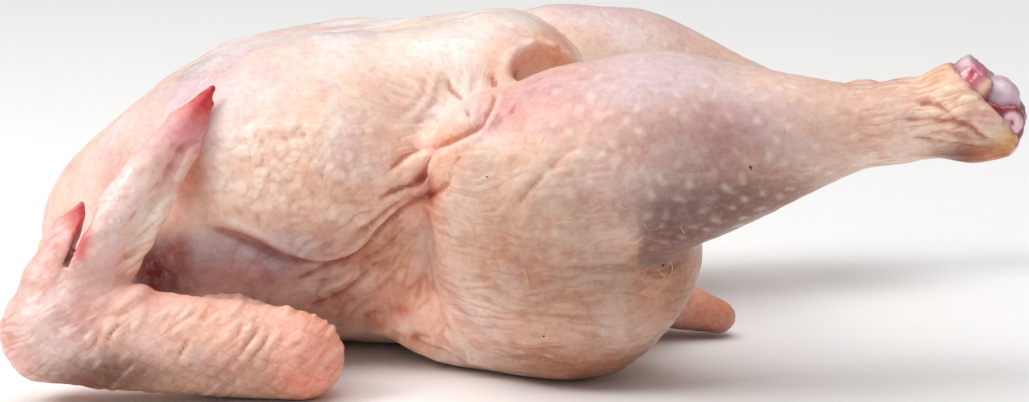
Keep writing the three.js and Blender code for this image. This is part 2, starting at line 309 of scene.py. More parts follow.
@dataclass
class Skin:
    """A closed mesh of four-sided faces, with the outward direction at each corner, in millimetres."""

    points: Points
    quads: np.ndarray
    normals: Points

    def push(self, amount: Values) -> None:
        """Moves every corner outward by its amount."""
        self.points = self.points + self.normals * amount[:, None]

    def refresh_normals(self) -> None:
        """Works the outward directions out again from the faces."""
        a, b, c, d = (self.points[self.quads[:, n]] for n in range(4))
        across = np.cross(c - a, d - b)
        total = np.zeros_like(self.points)
        for n in range(4):
            for axis in range(3):
                total[:, axis] += np.bincount(self.quads[:, n], across[:, axis], len(self.points))
        self.normals = total / np.maximum(np.linalg.norm(total, axis=1), 1e-12)[:, None]


def slopes_of(shape: Field, p: Points, step: float) -> Points:
    """Gives the direction in which a field grows, as a vector at each place."""
    out = np.empty_like(p)
    for axis in range(3):
        shift = np.zeros(3)
        shift[axis] = step
        out[:, axis] = (shape(p + shift) - shape(p - shift)) / (2 * step)
    return out


def skinned(shape: Field, low: Row, high: Row, cell: float) -> Skin:
    """Puts a closed skin round a field by surface nets on a grid.

    Args:
        shape: the field.
        low: the lowest corner of the grid.
        high: the highest corner of the grid.
        cell: the size of a grid cell.

    Returns:
        The skin, evened out and drawn on to the field's surface.
    """
    axes = [np.arange(a, b + cell, cell) for a, b in zip(low, high)]
    shape3 = tuple(len(a) for a in axes)
    grid = np.stack(np.meshgrid(*axes, indexing="ij"), -1).reshape(-1, 3)
    coarse, margin, batch = 4, 2.6, 300_000  # far from the surface, only every fourth value is worked out
    some = np.arange(len(grid)).reshape(shape3)[(slice(None, None, coarse),) * 3]
    values = shape(grid[some.ravel()]).reshape(some.shape)
    for axis in range(3):
        values = np.repeat(values, coarse, axis=axis)
    values = values[: shape3[0], : shape3[1], : shape3[2]].ravel()
    close = np.flatnonzero(np.abs(values) < cell * coarse * margin)
    for part in np.array_split(close, max(1, len(close) // batch)):
        values[part] = shape(grid[part])
    values = values.reshape(shape3)
    inside = values < 0

    cells = tuple(n - 1 for n in shape3)
    window = lambda a, o: a[o[0] : o[0] + cells[0], o[1] : o[1] + cells[1], o[2] : o[2] + cells[2]]
    corners = [(c & 1, (c >> 1) & 1, (c >> 2) & 1) for c in range(8)]
    filled = sum(window(inside, c).astype(np.int8) for c in corners)
    used = (filled > 0) & (filled < 8)
    where = np.argwhere(used)
    total, count = np.zeros((len(where), 3)), np.zeros(len(where))
    for a in range(8):
        for bit in (1, 2, 4):
            if a & bit:
                continue
            va, vb = window(values, corners[a])[used], window(values, corners[a | bit])[used]
            crossed = (va < 0) != (vb < 0)
            t = np.where(crossed, va / np.where(crossed, va - vb, 1.0), 0.0)
            place = np.array(corners[a], float) + t[:, None] * (np.array(corners[a | bit]) - corners[a])
            total += place * crossed[:, None]
            count += crossed
    points = np.array(low, float) + (where + total / count[:, None]) * cell

    number = np.full(cells, -1)
    number[used] = np.arange(len(where))
    quads = []
    for axis in range(3):
        u, v = (axis + 1) % 3, (axis + 2) % 3
        near_side = inside[tuple(slice(1, n - 1) for n in shape3)]
        step = [slice(1, n - 1) for n in shape3]
        step[axis] = slice(2, shape3[axis])
        far_side = inside[tuple(step)]
        crossing = np.argwhere(near_side != far_side) + 1
        eu, ev = np.eye(3, dtype=int)[u], np.eye(3, dtype=int)[v]
        ring = np.stack([number[tuple((crossing - o).T)] for o in (0 * eu, eu, eu + ev, ev)], 1)
        outward = inside[tuple(crossing.T)]
        ring[~outward] = ring[~outward][:, ::-1]
        quads.append(ring)
    skin = Skin(points, np.concatenate(quads), np.zeros_like(points))
    settle(skin, shape, cell, 5)
    return skin


def settle(skin: Skin, shape: Field, cell: float, turns: int) -> None:
    """Evens a skin out and draws it on to a field's surface.

    Args:
        skin: the skin, which is changed.
        shape: the field.
        cell: the size of the skin's faces.
        turns: how many times to do both.
    """
    for turn in range(turns):
        middles = np.stack([blurred(skin, skin.points[:, n], 1) for n in range(3)], 1)
        skin.points = skin.points + (middles - skin.points) * (0.5 if turn < turns - 1 else 0.25)
        slope = slopes_of(shape, skin.points, cell * 0.15)
        move = -shape(skin.points)[:, None] * slope / np.maximum((slope**2).sum(1), 0.5)[:, None]
        length = np.linalg.norm(move, axis=1)
        skin.points += move * np.minimum(1.0, cell * 0.4 / np.maximum(length, 1e-9))[:, None]
    skin.refresh_normals()


def refined(skin: Skin, shape: Field, chosen: np.ndarray, cell: float) -> Skin:
    """Splits chosen faces in four, fans out the faces beside them and settles the result on the field.

    Args:
        skin: the skin.
        shape: the field that it lies on.
        chosen: whether each face is split.
        cell: the size of the new faces.

    Returns:
        The finer skin. A face with three corners repeats its last one.
    """
    quads, count = skin.quads, len(skin.points)
    pairs = np.sort(np.stack([quads, np.roll(quads, -1, axis=1)], -1).reshape(-1, 2), axis=1)
    edges, index = np.unique(pairs[:, 0].astype(np.int64) * count + pairs[:, 1], return_inverse=True)
    index = index.reshape(-1, 4)
    split = np.zeros(len(edges), bool)
    split[index[chosen].ravel()] = True
    middle = np.full(len(edges), -1)
    middle[split] = count + np.arange(split.sum())
    middle = middle[index]
    touched = split[index].any(1)
    centre = np.full(len(quads), -1)
    centre[touched] = count + split.sum() + np.arange(touched.sum())
    halfway = (skin.points[edges[split] // count] + skin.points[edges[split] % count]) / 2
    points = np.concatenate([skin.points, halfway, skin.points[quads[touched]].mean(1)])
    beside = touched & ~chosen
    faces = [quads[~touched]]
    for n in range(4):
        here, after, half, before = quads[:, n], quads[:, (n + 1) % 4], middle[:, n], middle[:, n - 1]
        faces.append(np.stack([here, half, centre, before], 1)[chosen])
        cut, whole = beside & (half >= 0), beside & (half < 0)
        faces.append(np.stack([here, half, centre, centre], 1)[cut])
        faces.append(np.stack([half, after, centre, centre], 1)[cut])
        faces.append(np.stack([here, after, centre, centre], 1)[whole])
    finer = Skin(points, np.concatenate(faces), np.zeros_like(points))
    settle(finer, shape, cell, 3)
    return finer


def blurred(skin: Skin, values: Values, turns: int) -> Values:
    """Spreads a number over the skin by averaging neighbours.

    Args:
        skin: the skin.
        values: a number for each corner.
        turns: how many times to average.

    Returns:
        The spread numbers.
    """
    links = np.concatenate([skin.quads[:, [n, (n + 1) % 4]] for n in range(4)])
    links = np.concatenate([links, links[:, ::-1]])
    degree = np.bincount(links[:, 0], minlength=len(values))
    for _ in range(turns):
        values = np.bincount(links[:, 0], values[links[:, 1]], len(values)) / degree
    return values


def even(skin: Skin, share: float) -> None:
    """Softens a skin a little by drawing each corner towards its neighbours."""
    for n in range(3):
        skin.points[:, n] += (blurred(skin, skin.points[:, n], 1) - skin.points[:, n]) * share
    skin.refresh_normals()


# ---- the bird's shape


@dataclass
class Trunk:
    """Breast, back, neck skin and tail, with the body cavity and the hollows beside the breast tip."""

    breast_front: Ball = (-95, 19, 48.8, 36)
    breast_brow: Ball = (-78, 21, 56, 37.3)
    breast_middle: Ball = (-55.2, 23, 59.6, 38)
    breast_tip: Ball = (-6, 15, 72.7, 31)
    keel_blend: float = 17.0
    crop: Egg = ((-102, 0, 36.2), (47, 49, 36))
    back: Egg = ((-36, 0, 34.5), (94, 48, 35))
    pelvis: Egg = ((10, 0, 27), (41, 42, 28))
    shoulder: Egg = ((-90, 43, 30), (26, 15, 19))
    flank: Egg = ((-5.2, 37.2, 15.8), (35.2, 21.2, 17))
    neck_skin: Egg = ((-136, 0, 17), (17, 23, 13))
    groin: Egg = ((18, 39, 87), (21, 16.5, 18))
    rim: Path = (
        *((-1.2, 44.4, 81), (-2.4, 43.1, 85.2), (-2.7, 40, 90.6), (-0.1, 35.2, 95.0), (5.4, 29.5, 97.0)),
        *((11.7, 25.2, 95.4), (15.8, 23.3, 92.6), (19.5, 21.4, 88.6), (22.8, 20.8, 83)),
    )
    rim_radii: tuple[float, ...] = (0.5, 1.0, 1.2, 1.3, 1.3, 1.3, 1.3, 1.3, 0.8)
    tail: Path = ((38, 0, 15), (64, 0, 6.6))
    tail_radii: tuple[float, float] = (14, 7)
    cavity: Egg = ((-6, 0, 41), (74, 31, 26))
    mouth: Egg = ((52, 0, 46), (34, 26, 24))

    def breast(self) -> Field:
        """The two halves of the breast, with the groove of the keel between them."""
        halves = []
        for side in SIDES:
            spots = (self.breast_front, self.breast_brow, self.breast_middle, self.breast_tip)
            balls = [(on_side(s[:3], side), s[3]) for s in spots]
            halves.append(join(8.0, *(limb(a, b, taper(ra, rb)) for (a, ra), (b, rb) in zip(balls, balls[1:]))))
        return join(self.keel_blend, *halves)

    def flesh(self) -> Field:
        """The trunk without its cavity."""
        pairs = [ellipsoid(on_side(at, s), r) for at, r in (self.shoulder, self.flank) for s in SIDES]
        tail = limb(*self.tail, taper(*self.tail_radii), across=(0, 0, 1), flatness=0.8)
        middle = [ellipsoid(*egg) for egg in (self.crop, self.back, self.pelvis)]
        neck = ellipsoid(*self.neck_skin, turn=(0, 20, 0))
        whole = join(9.0, self.breast(), *middle, neck, *pairs, tail)
        groins = join(1.0, *(ellipsoid(on_side(self.groin[0], s), self.groin[1]) for s in SIDES))
        rims = [chain([on_side(p, s) for p in self.rim], self.rim_radii) for s in SIDES]
        return join(2.6, carve(3.0, whole, groins), *rims)

    def hollow(self) -> Field:
        """The cavity that is left where the bird was drawn, and its mouth at the tail."""
        return join(10.0, ellipsoid(*self.cavity), ellipsoid(*self.mouth))


@dataclass
class Leg:
    """A thigh and a drumstick with the foot cut off, and the shin bone that shows at the cut."""

    side: float
    knee: Point
    hock: Point
    thigh_at: Point
    thigh_radii: Point = (39.7, 33, 42.5)
    thigh_lean: float = 13.4
    cut_beyond: float = 6.0
    cut_lean: float = 37.0
    heel_beyond: float = 12.6
    bone_start: float = 22.0
    bone_end: float = 11.5
    bone_lift: float = 2.5
    condyle: Point = (4.6, 7.0, 7.6)
    condyle_gap: float = 7.6
    flare: Egg = ((0, 5.4, -5), (9.5, 9.9, 10.5))  # z from the hock
    profile: Curve = (  # share of the way from knee to hock, and radius
        *((-0.1, 23), (0.0, 27), (0.12, 28.4), (0.26, 29.0), (0.38, 25.8), (0.48, 21.5)),
        *((0.6, 16.4), (0.73, 11.9), (0.82, 11.9), (0.9, 11.6), (0.97, 13.6), (1.06, 13.2)),
    )

    def ends(self) -> tuple[np.ndarray, np.ndarray]:
        """The middle of the knee and of the hock."""
        return on_side(self.knee, self.side), on_side(self.hock, self.side)

    def axes(self) -> np.ndarray:
        """The shin's own directions as columns: level, upward and along."""
        a, b = self.ends()
        along = (b - a) / np.linalg.norm(b - a)
        level = np.cross((0, 0, 1), along)
        level /= np.linalg.norm(level)
        return np.stack([level, np.cross(along, level), along], 1)

    def length(self) -> float:
        """From knee to hock."""
        a, b = self.ends()
        return float(np.linalg.norm(b - a))

    def place(self, x: float, y: float, z: float) -> np.ndarray:
        """Turns a place in the shin's own frame, z from the knee, into the bird's frame."""
        return self.ends()[0] + self.axes() @ np.array([x, y, z], float)

    def local(self, p: Points) -> Points:
        """Turns places into the shin's own frame, with z from the hock."""
        return (p - self.ends()[1]) @ self.axes()

    def shin(self) -> Field:
        """The drumstick, with its flare on top of the hock."""
        reach = (self.profile[0][0], self.profile[-1][0])
        flare = ellipsoid(*self.flare)
        return join(3.0, limb(*self.ends(), curve_through(self.profile), reach=reach), lambda p: flare(self.local(p)))

    def thigh(self) -> Field:
        """The thigh."""
        turn = (self.thigh_lean * self.side, 0, 0)
        return ellipsoid(on_side(self.thigh_at, self.side), self.thigh_radii, turn)

    def fillet(self, p: Points) -> Values:
        """The fold between calf and thigh: wide at the knee, tight behind it."""
        return 15 - 12.5 * smooth(p[:, 0], 14, 36)

    def flesh(self) -> Field:
        """Thigh and drumstick together."""
        return join(self.fillet, self.thigh(), self.shin())

    def foot_cut(self) -> Field:
        """Everything past the slanting cut that took the foot off, and past the rounded heel under it."""
        heel = self.heel_beyond
        slants = ((0.0, self.cut_beyond, self.cut_lean), (-6.0, heel, -8.0), (-9.0, heel - 0.4, -49.0))
        cuts = []
        for up, beyond, degrees in slants:
            lean = math.radians(degrees)
            outward = self.axes() @ np.array([0, math.sin(lean), math.cos(lean)])
            cuts.append(half_space(self.place(0, up, self.length() + beyond), -outward))
        return join(5.0, *cuts)

    def bone(self, grow: float = 0.0) -> Field:
        """The shin bone with its two condyles, swollen by grow all round."""
        top = self.length() + self.bone_end - self.condyle[2]
        lift = self.bone_lift
        at = lambda z: self.place(0, lift, z)
        shaft = chain(
            [at(self.bone_start + 8), at(self.bone_start + 26), at(top - 16), at(top)],
            [8 + grow, 4.2 + grow, 4.2 + grow, 6 + grow],
        )
        radii = [r + grow for r in self.condyle]
        axes = self.axes()
        lobes = []
        for way in (-1, 1):
            middle = self.place(way * self.condyle_gap / 2, lift, top)
            base = ellipsoid((0, 0, 0), radii)
            lobes.append(lambda p, base=base, middle=middle: base((p - middle) @ axes))
        return join(3.0, shaft, join(1.2, *lobes))


@dataclass
class Wing:
    """A folded wing: upper arm, forearm, hand with its bone and its flap of skin, and thumb."""

    side: float
    shoulder: Point = (-106, 36, 17)
    elbow: Point = (-62, 78, 12.5)
    wrist: Point = (-131.7, 82, 20.5)
    knuckle: Point = (-122.5, 79, 41)
    bone: Path = ((-121, 79, 43), (-107, 67.5, 63), (-96.6, 58, 76.5), (-88.6, 50, 86.5))
    bone_radii: tuple[float, ...] = (7.4, 6.0, 4.4, 1.2)
    flap: Path = ((-116.5, 77, 33), (-104, 68, 53), (-95.6, 60, 69), (-89.6, 51.5, 82))
    flap_radii: tuple[float, ...] = (5.4, 4.2, 3.4, 1.8)
    thumb: Path = ((-133, 81, 35), (-127.5, 77, 49), (-123.6, 75, 56))
    thumb_radii: tuple[float, ...] = (7.2, 4.0, 1.0)
    notch: Path = ((-120.0, 82, 55), (-126.4, 82, 41))
    notch_radii: tuple[float, float] = (1.3, 0.85)
    groove: Line = (-94, 74, -97, 69, -101, 62, -104, 58.5, -108, 53, -112, 45)
    rolled: Line = (-92, 73, -96, 65, -99, 58, -103, 50, -108.5, 41, -112, 33)
    forearm: Curve = ((0, 12.3), (0.15, 13.6), (0.5, 14.4), (0.8, 15.0), (1, 13.6))
    palm: tuple[float, float] = (13.2, 11)

    def flesh(self) -> Field:
        """The whole wing."""
        at = lambda p: on_side(p, self.side)
        across = (0.3, 0.85 * self.side, 0.4)
        arm = limb(at(self.elbow), at(self.wrist), curve_through(self.forearm), flatness=0.82)
        palm = limb(at(self.wrist), at(self.knuckle), taper(*self.palm), across=across, flatness=0.75)
        bone = chain(map(at, self.bone), self.bone_radii, across=across, flatness=0.85)
        flap = chain(map(at, self.flap), self.flap_radii, across=across, flatness=0.7)
        thumb = chain(map(at, self.thumb), self.thumb_radii, across=across, flatness=0.8)
        upper = limb(at(self.shoulder), at(self.elbow), taper(13, 10.5))
        whole = join(2.5, join(6.0, upper, arm, palm), join(1.2, bone, flap), thumb)
        notch = limb(*map(at, self.notch), taper(*self.notch_radii), flatness=13.0)
        return carve(1.2, whole, notch)


@dataclass
class Bird:
    """The whole bird, with its legs and wings in place."""

    trunk: Trunk = field(default_factory=Trunk)
    legs: tuple[Leg, ...] = (
        Leg(RIGHT, knee=(12, 63, 65.6), hock=(129, 88.5, 84.3), thigh_at=(16.2, 49.8, 42.1)),
        Leg(LEFT, knee=(10, 62, 73.6), hock=(128, 92, 55.8), thigh_at=(16.2, 49.8, 42.1), cut_lean=14.0),
    )
    wings: tuple[Wing, ...] = (Wing(RIGHT), Wing(LEFT))
    web: Path = ((-6, 58, 74), (-30, 51, 56))
    web_radii: tuple[float, float] = (10, 5)

    def body(self) -> Field:
        """Trunk and legs in one, with the cavity, the cut hocks and the flat where it rests."""
        legs = join(2.0, *(leg.flesh() for leg in self.legs))
        webs = [limb(on_side(self.web[0], s), on_side(self.web[1], s), taper(*self.web_radii)) for s in SIDES]
        flesh = join(9.0, join(self.leg_fillet, self.trunk.flesh(), legs), *webs)
        open_body = carve(7.0, flesh, self.trunk.hollow())
        for leg in self.legs:
            open_body = carve(2.0, open_body, leg.foot_cut())
            open_body = carve(1.0, open_body, leg.bone(0.3))
        return carve(1.5, open_body, half_space((0, 0, REST_HEIGHT), (0, 0, 1)))

    def leg_fillet(self, p: Points) -> Values:
        """The crease between trunk and thigh: tight in front of the thigh, wide under it."""
        return 5 + 8 * smooth(p[:, 2], 30, 8) + 4 * smooth(p[:, 2], 60, 80)


# ---- folds pressed into the skin


@dataclass(frozen=True)
class Fold:
    """A groove, or a ridge if its depth is negative, along a line in side view (x, z)."""

    path: Line
    depth: float
    width: float
    lip: float = 0.0  # how far the skin above the line stands up beside it
    side: float = 0.0  # the only side that carries it, if not both

    def relief(self, skin: Skin, facing: Values) -> Values:
        """How far each corner moves outward.

        Args:
            skin: the skin.
            facing: how squarely each corner faces the side that carries the fold.

        Returns:
            The move outward, in millimetres.
        """
        line = np.array(self.path, float).reshape(-1, 2)
        fine = np.linspace(0, len(line) - 1, 12 * (len(line) - 1) + 1)
        line = np.stack([curve_through(list(enumerate(line[:, n])))(fine) for n in (0, 1)], 1)
        p = skin.points[:, [0, 2]]
        reach = self.width * 4
        low, high = line.min(0) - reach, line.max(0) + reach
        allowed = (facing > 0) & (skin.points[:, 1] * self.side >= 0)
        near = np.flatnonzero(((p > low) & (p < high)).all(1) & allowed)
        out = np.zeros(len(p))
        if not len(near):
            return out
        q = p[near]
        best, side, share = np.full(len(q), 1e9), np.zeros(len(q)), np.zeros(len(q))
        for n in range(len(line) - 1):
            a, b = line[n], line[n + 1]
            ab = b - a
            t = np.clip(((q - a) @ ab) / max(ab @ ab, 1e-9), 0, 1)
            away = q - a - t[:, None] * ab
            d = np.linalg.norm(away, axis=1)
            closer = d < best
            best[closer] = d[closer]
            share[closer] = ((n + t) / (len(line) - 1))[closer]
            side[closer] = np.sign(ab[0] * away[:, 1] - ab[1] * away[:, 0])[closer]
        fade = smooth(share, 0, 0.18) * smooth(share, 1, 0.82)
        groove = -self.depth * np.exp(-((best / self.width) ** 2))
        lip = self.lip * np.exp(-(((best * side - 1.7 * self.width) / self.width) ** 2))
        out[near] = (groove + lip) * fade * facing[near]
        return out


@dataclass(frozen=True)
class Patch:
    """A soft-edged region of the skin, on both sides of the bird unless it names one."""

    at: Point
    radii: Point
    amount: float = 1.0
    side: float = 0.0

    def weight(self, p: Points) -> Values:
        """How strongly each place lies in the patch, from 0 to its amount."""
        total = np.zeros(len(p))
        for side in SIDES if self.side == 0 else (self.side,):
            r2 = (((p - on_side(self.at, side)) / self.radii) ** 2).sum(1)
            total = np.maximum(total, np.exp(-(r2**1.4)))
        return total * self.amount


@dataclass(frozen=True)
class Tint:
    """A patch of skin with its own colour."""

    colour: Colour
    patch: Patch


def tint(rgb: tuple[int, int, int], at: Point, radii: Point, amount: float = 1.0, side: float = 0.0) -> Tint:
    """Makes a tint from a display colour and a place on the right side."""
    return Tint(srgb(*rgb), Patch((at[0], abs(at[1]), at[2]) if side == 0 else at, radii, amount, side))


def painted(p: Points, base: Colour, tints: Sequence[Tint]) -> np.ndarray:
    """Lays the tints over a base colour, one after another.

    Args:
        p: places on the skin.
        base: the colour under all of them.
        tints: the patches, the last one on top.

    Returns:
        A linear colour for each place.
    """
    colour = np.tile(np.array(base, float), (len(p), 1))
    for one in tints:
        colour = toward(colour, one.colour, one.patch.weight(p))
    return colour


def rows_of(maker: Callable, rows: Sequence[tuple]) -> tuple:
    """Makes one thing from each row of a table."""
    return tuple(maker(*row) for row in rows)


def most(p: Points, patches: Sequence[Patch]) -> Values:
    """The strongest of several patches at each place."""
    return np.max([patch.weight(p) for patch in patches], axis=0)


# ---- meshes


def linked(name: str, data: bpy.types.ID) -> Object:
    """Makes an object and links it to the scene."""
    thing = bpy.data.objects.new(name, data)
    bpy.context.scene.collection.objects.link(thing)
    return thing


def handed_over(piece: Object, finish: Material | None = None, node: str = "") -> Object:
    """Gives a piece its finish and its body.

    Args:
        piece: the object.
        finish: its material, if it has none yet.
        node: the solid that it stands for, if any.

    Returns:
        The same object.
    """
    if finish:
        piece.data.materials.append(finish)
    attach(piece, "root")
    if node:
        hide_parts(node)
    LOG.info("%s: %d faces", piece.name, len(piece.data.polygons))
    return piece


def make_piece(name: str, skin: Skin, tints: np.ndarray, **masks: np.ndarray) -> Object:
    """Turns a skin into a smooth mesh object in metres, with colour and mask attributes.

    Args:
        name: the piece's name.
        skin: its shape in millimetres.
        tints: a colour for each corner.
        masks: further attributes, each with three numbers for each corner.

    Returns:
        The object, linked to the scene.
    """
    mesh = bpy.data.meshes.new(name)
    mesh.vertices.add(len(skin.points))
    mesh.vertices.foreach_set("co", (skin.points * MM).astype(np.float32).ravel())
    keep = np.ones(skin.quads.shape, bool)
    keep[:, 3] = skin.quads[:, 3] != skin.quads[:, 2]
    corners = skin.quads[keep].astype(np.int32)
    starts = np.concatenate([[0], np.cumsum(keep.sum(1))[:-1]]).astype(np.int32)
    mesh.loops.add(len(corners))
    mesh.loops.foreach_set("vertex_index", corners)
    mesh.polygons.add(len(starts))
    mesh.polygons.foreach_set("loop_start", starts)
    mesh.update(calc_edges=True)
    mesh.validate()
    mesh.polygons.foreach_set("use_smooth", np.ones(len(mesh.polygons), bool))
    opaque = np.concatenate([tints, np.ones((len(tints), 1))], 1)
    layer = mesh.attributes.new("tint", "FLOAT_COLOR", "POINT")
    layer.data.foreach_set("color", opaque.astype(np.float32).ravel())
    for key, values in masks.items():
        layer = mesh.attributes.new(key, "FLOAT_VECTOR", "POINT")
        layer.data.foreach_set("vector", values.astype(np.float32).ravel())
    return linked(name, mesh)


# ---- shader trees


class Tree:
    """A short way to fill a shader tree with nodes and links."""

    def __init__(self, tree: NodeTree) -> None:
        """Takes the tree to fill."""
        self.tree = tree

    def add(self, kind: str, settings: dict | None = None, **inputs: object) -> Node:
        """Adds a node.

        Args:
            kind: the node's type.
            settings: its properties.
            inputs: its sockets by name, with _ for a blank: a number, a colour or a socket to link from.

        Returns:
            The node.
        """
        node = self.tree.nodes.new(kind)
        for key, value in (settings or {}).items():
            setattr(node, key, value)
        for key, value in inputs.items():
            name = key.replace("_", " ")
            socket = node.inputs[int(name[2:])] if name.startswith("at") and name[2:].isdigit() else node.inputs[name]
            if isinstance(value, Socket):
                self.tree.links.new(value, socket)
            else:
                socket.default_value = value
        return node

    def maths(self, operation: str, first: object, second: object = 0.0, third: object = 0.0) -> Socket:
        """Adds a sum of two or three numbers and gives its result."""
        inputs = {"at0": first, "at1": second}
        if operation in ("MULTIPLY_ADD", "WRAP", "SMOOTH_MIN", "SMOOTH_MAX"):
            inputs["at2"] = third
        return self.add("ShaderNodeMath", {"operation": operation}, **inputs).outputs[0]

    def product(self, first: object, second: object) -> Socket:
        """Multiplies two numbers."""
        return self.maths("MULTIPLY", first, second)

    def weighed(self, value: object, weight: object, rest: object) -> Socket:
        """Multiplies a number by its weight and adds the rest."""
        return self.maths("MULTIPLY_ADD", value, weight, rest)

    def vectors(self, operation: str, *values: object) -> Socket:
        """Adds a sum of vectors and gives its result."""
        inputs = {f"at{n}": value for n, value in enumerate(values)}
        return self.add("ShaderNodeVectorMath", {"operation": operation}, **inputs).outputs[0]

    def split(self, vector: Socket) -> bpy.types.bpy_prop_collection:
        """Takes a vector apart into its three numbers."""
        return self.add("ShaderNodeSeparateXYZ", None, Vector=vector).outputs

    def link(self, source: Socket, node: Node, name: str) -> None:
        """Links a value to one of a node's inputs."""
        self.tree.links.new(source, node.inputs[name])

    def stained(self, colour: object, stain: Colour) -> Socket:
        """Multiplies a colour by a stain."""
        return self.blend(1.0, colour, stain, "MULTIPLY")

    def use(self, group: NodeTree, **inputs: object) -> bpy.types.bpy_prop_collection:
        """Places a group and gives its outputs."""
        return self.add("ShaderNodeGroup", {"node_tree": group}, **inputs).outputs

    def blend(self, share: object, first: object, second: object, how: str = "MIX") -> Socket:
        """Mixes two colours.

        Args:
            share: how much of the second.
            first: a colour or a socket.
            second: a colour or a socket.
            how: the way to mix.

        Returns:
            The mixed colour.
        """
        node = self.tree.nodes.new("ShaderNodeMix")
        node.data_type, node.blend_type = "RGBA", how
        for socket, value in ((node.inputs[0], share), (node.inputs[6], first), (node.inputs[7], second)):
            if isinstance(value, Socket):
                self.tree.links.new(value, socket)
            elif isinstance(value, tuple):
                socket.default_value = (*value, 1.0)
            else:
                socket.default_value = value
        return node.outputs[2]

    def ramp(self, value: object, low: float, high: float, first: float = 0.0, last: float = 1.0) -> Socket:
        """Rises smoothly from first at low to last at high."""
        node = self.add("ShaderNodeMapRange", {"interpolation_type": "SMOOTHSTEP"}, Value=value)
        for key, number in (("From Min", low), ("From Max", high), ("To Min", first), ("To Max", last)):
            node.inputs[key].default_value = number
        return node.outputs[0]

    def noise(self, vector: object, size: float, detail: float = 3.0, warp: float = 0.0) -> Socket:
        """Gives noise from 0 to 1 with features of about the given size in millimetres."""
        values = {"Scale": 1 / size, "Detail": detail, "Distortion": warp}
        return self.add("ShaderNodeTexNoise", None, Vector=vector, **values).outputs["Fac"]

    def sway(self, vector: object, scale: float, detail: float = 2.0) -> Socket:
        """Gives a vector of noise that bends a pattern."""
        return self.add("ShaderNodeTexNoise", None, Vector=vector, Scale=scale, Detail=detail).outputs["Color"]

    def turned(self, vector: object, turn: Point) -> Socket:
        """Turns a vector, in degrees."""
        degrees = tuple(math.radians(a) for a in turn)
        return self.add("ShaderNodeMapping", {"vector_type": "POINT"}, Vector=vector, Rotation=degrees).outputs[0]

    def stretched(self, vector: object, scale: Point, turn: Point = (0, 0, 0)) -> Socket:
        """Turns a vector, in degrees, and then stretches it."""
        return self.vectors("MULTIPLY", self.turned(vector, turn), scale)


def new_group(name: str, inputs: dict[str, object], outputs: dict[str, str]) -> tuple:
    """Starts a node group.

    Args:
        name: the group's name.
        inputs: its inputs and their first values: a number, or None for a vector, or a colour of three.
        outputs: its outputs and their kinds.

    Returns:
        The tree, the inputs' sockets and the node that takes the outputs.
    """
    tree = bpy.data.node_groups.new(name, "ShaderNodeTree")
    for key, value in inputs.items():
        kind = {type(None): "Vector", tuple: "Color"}.get(type(value), "Float")
        socket = tree.interface.new_socket(name=key, in_out="INPUT", socket_type="NodeSocket" + kind)
        if value is not None:
            socket.default_value = (*value, 1.0) if isinstance(value, tuple) else value
    for key, kind in outputs.items():
        tree.interface.new_socket(name=key, in_out="OUTPUT", socket_type="NodeSocket" + kind)
    return Tree(tree), tree.nodes.new("NodeGroupInput").outputs, tree.nodes.new("NodeGroupOutput")


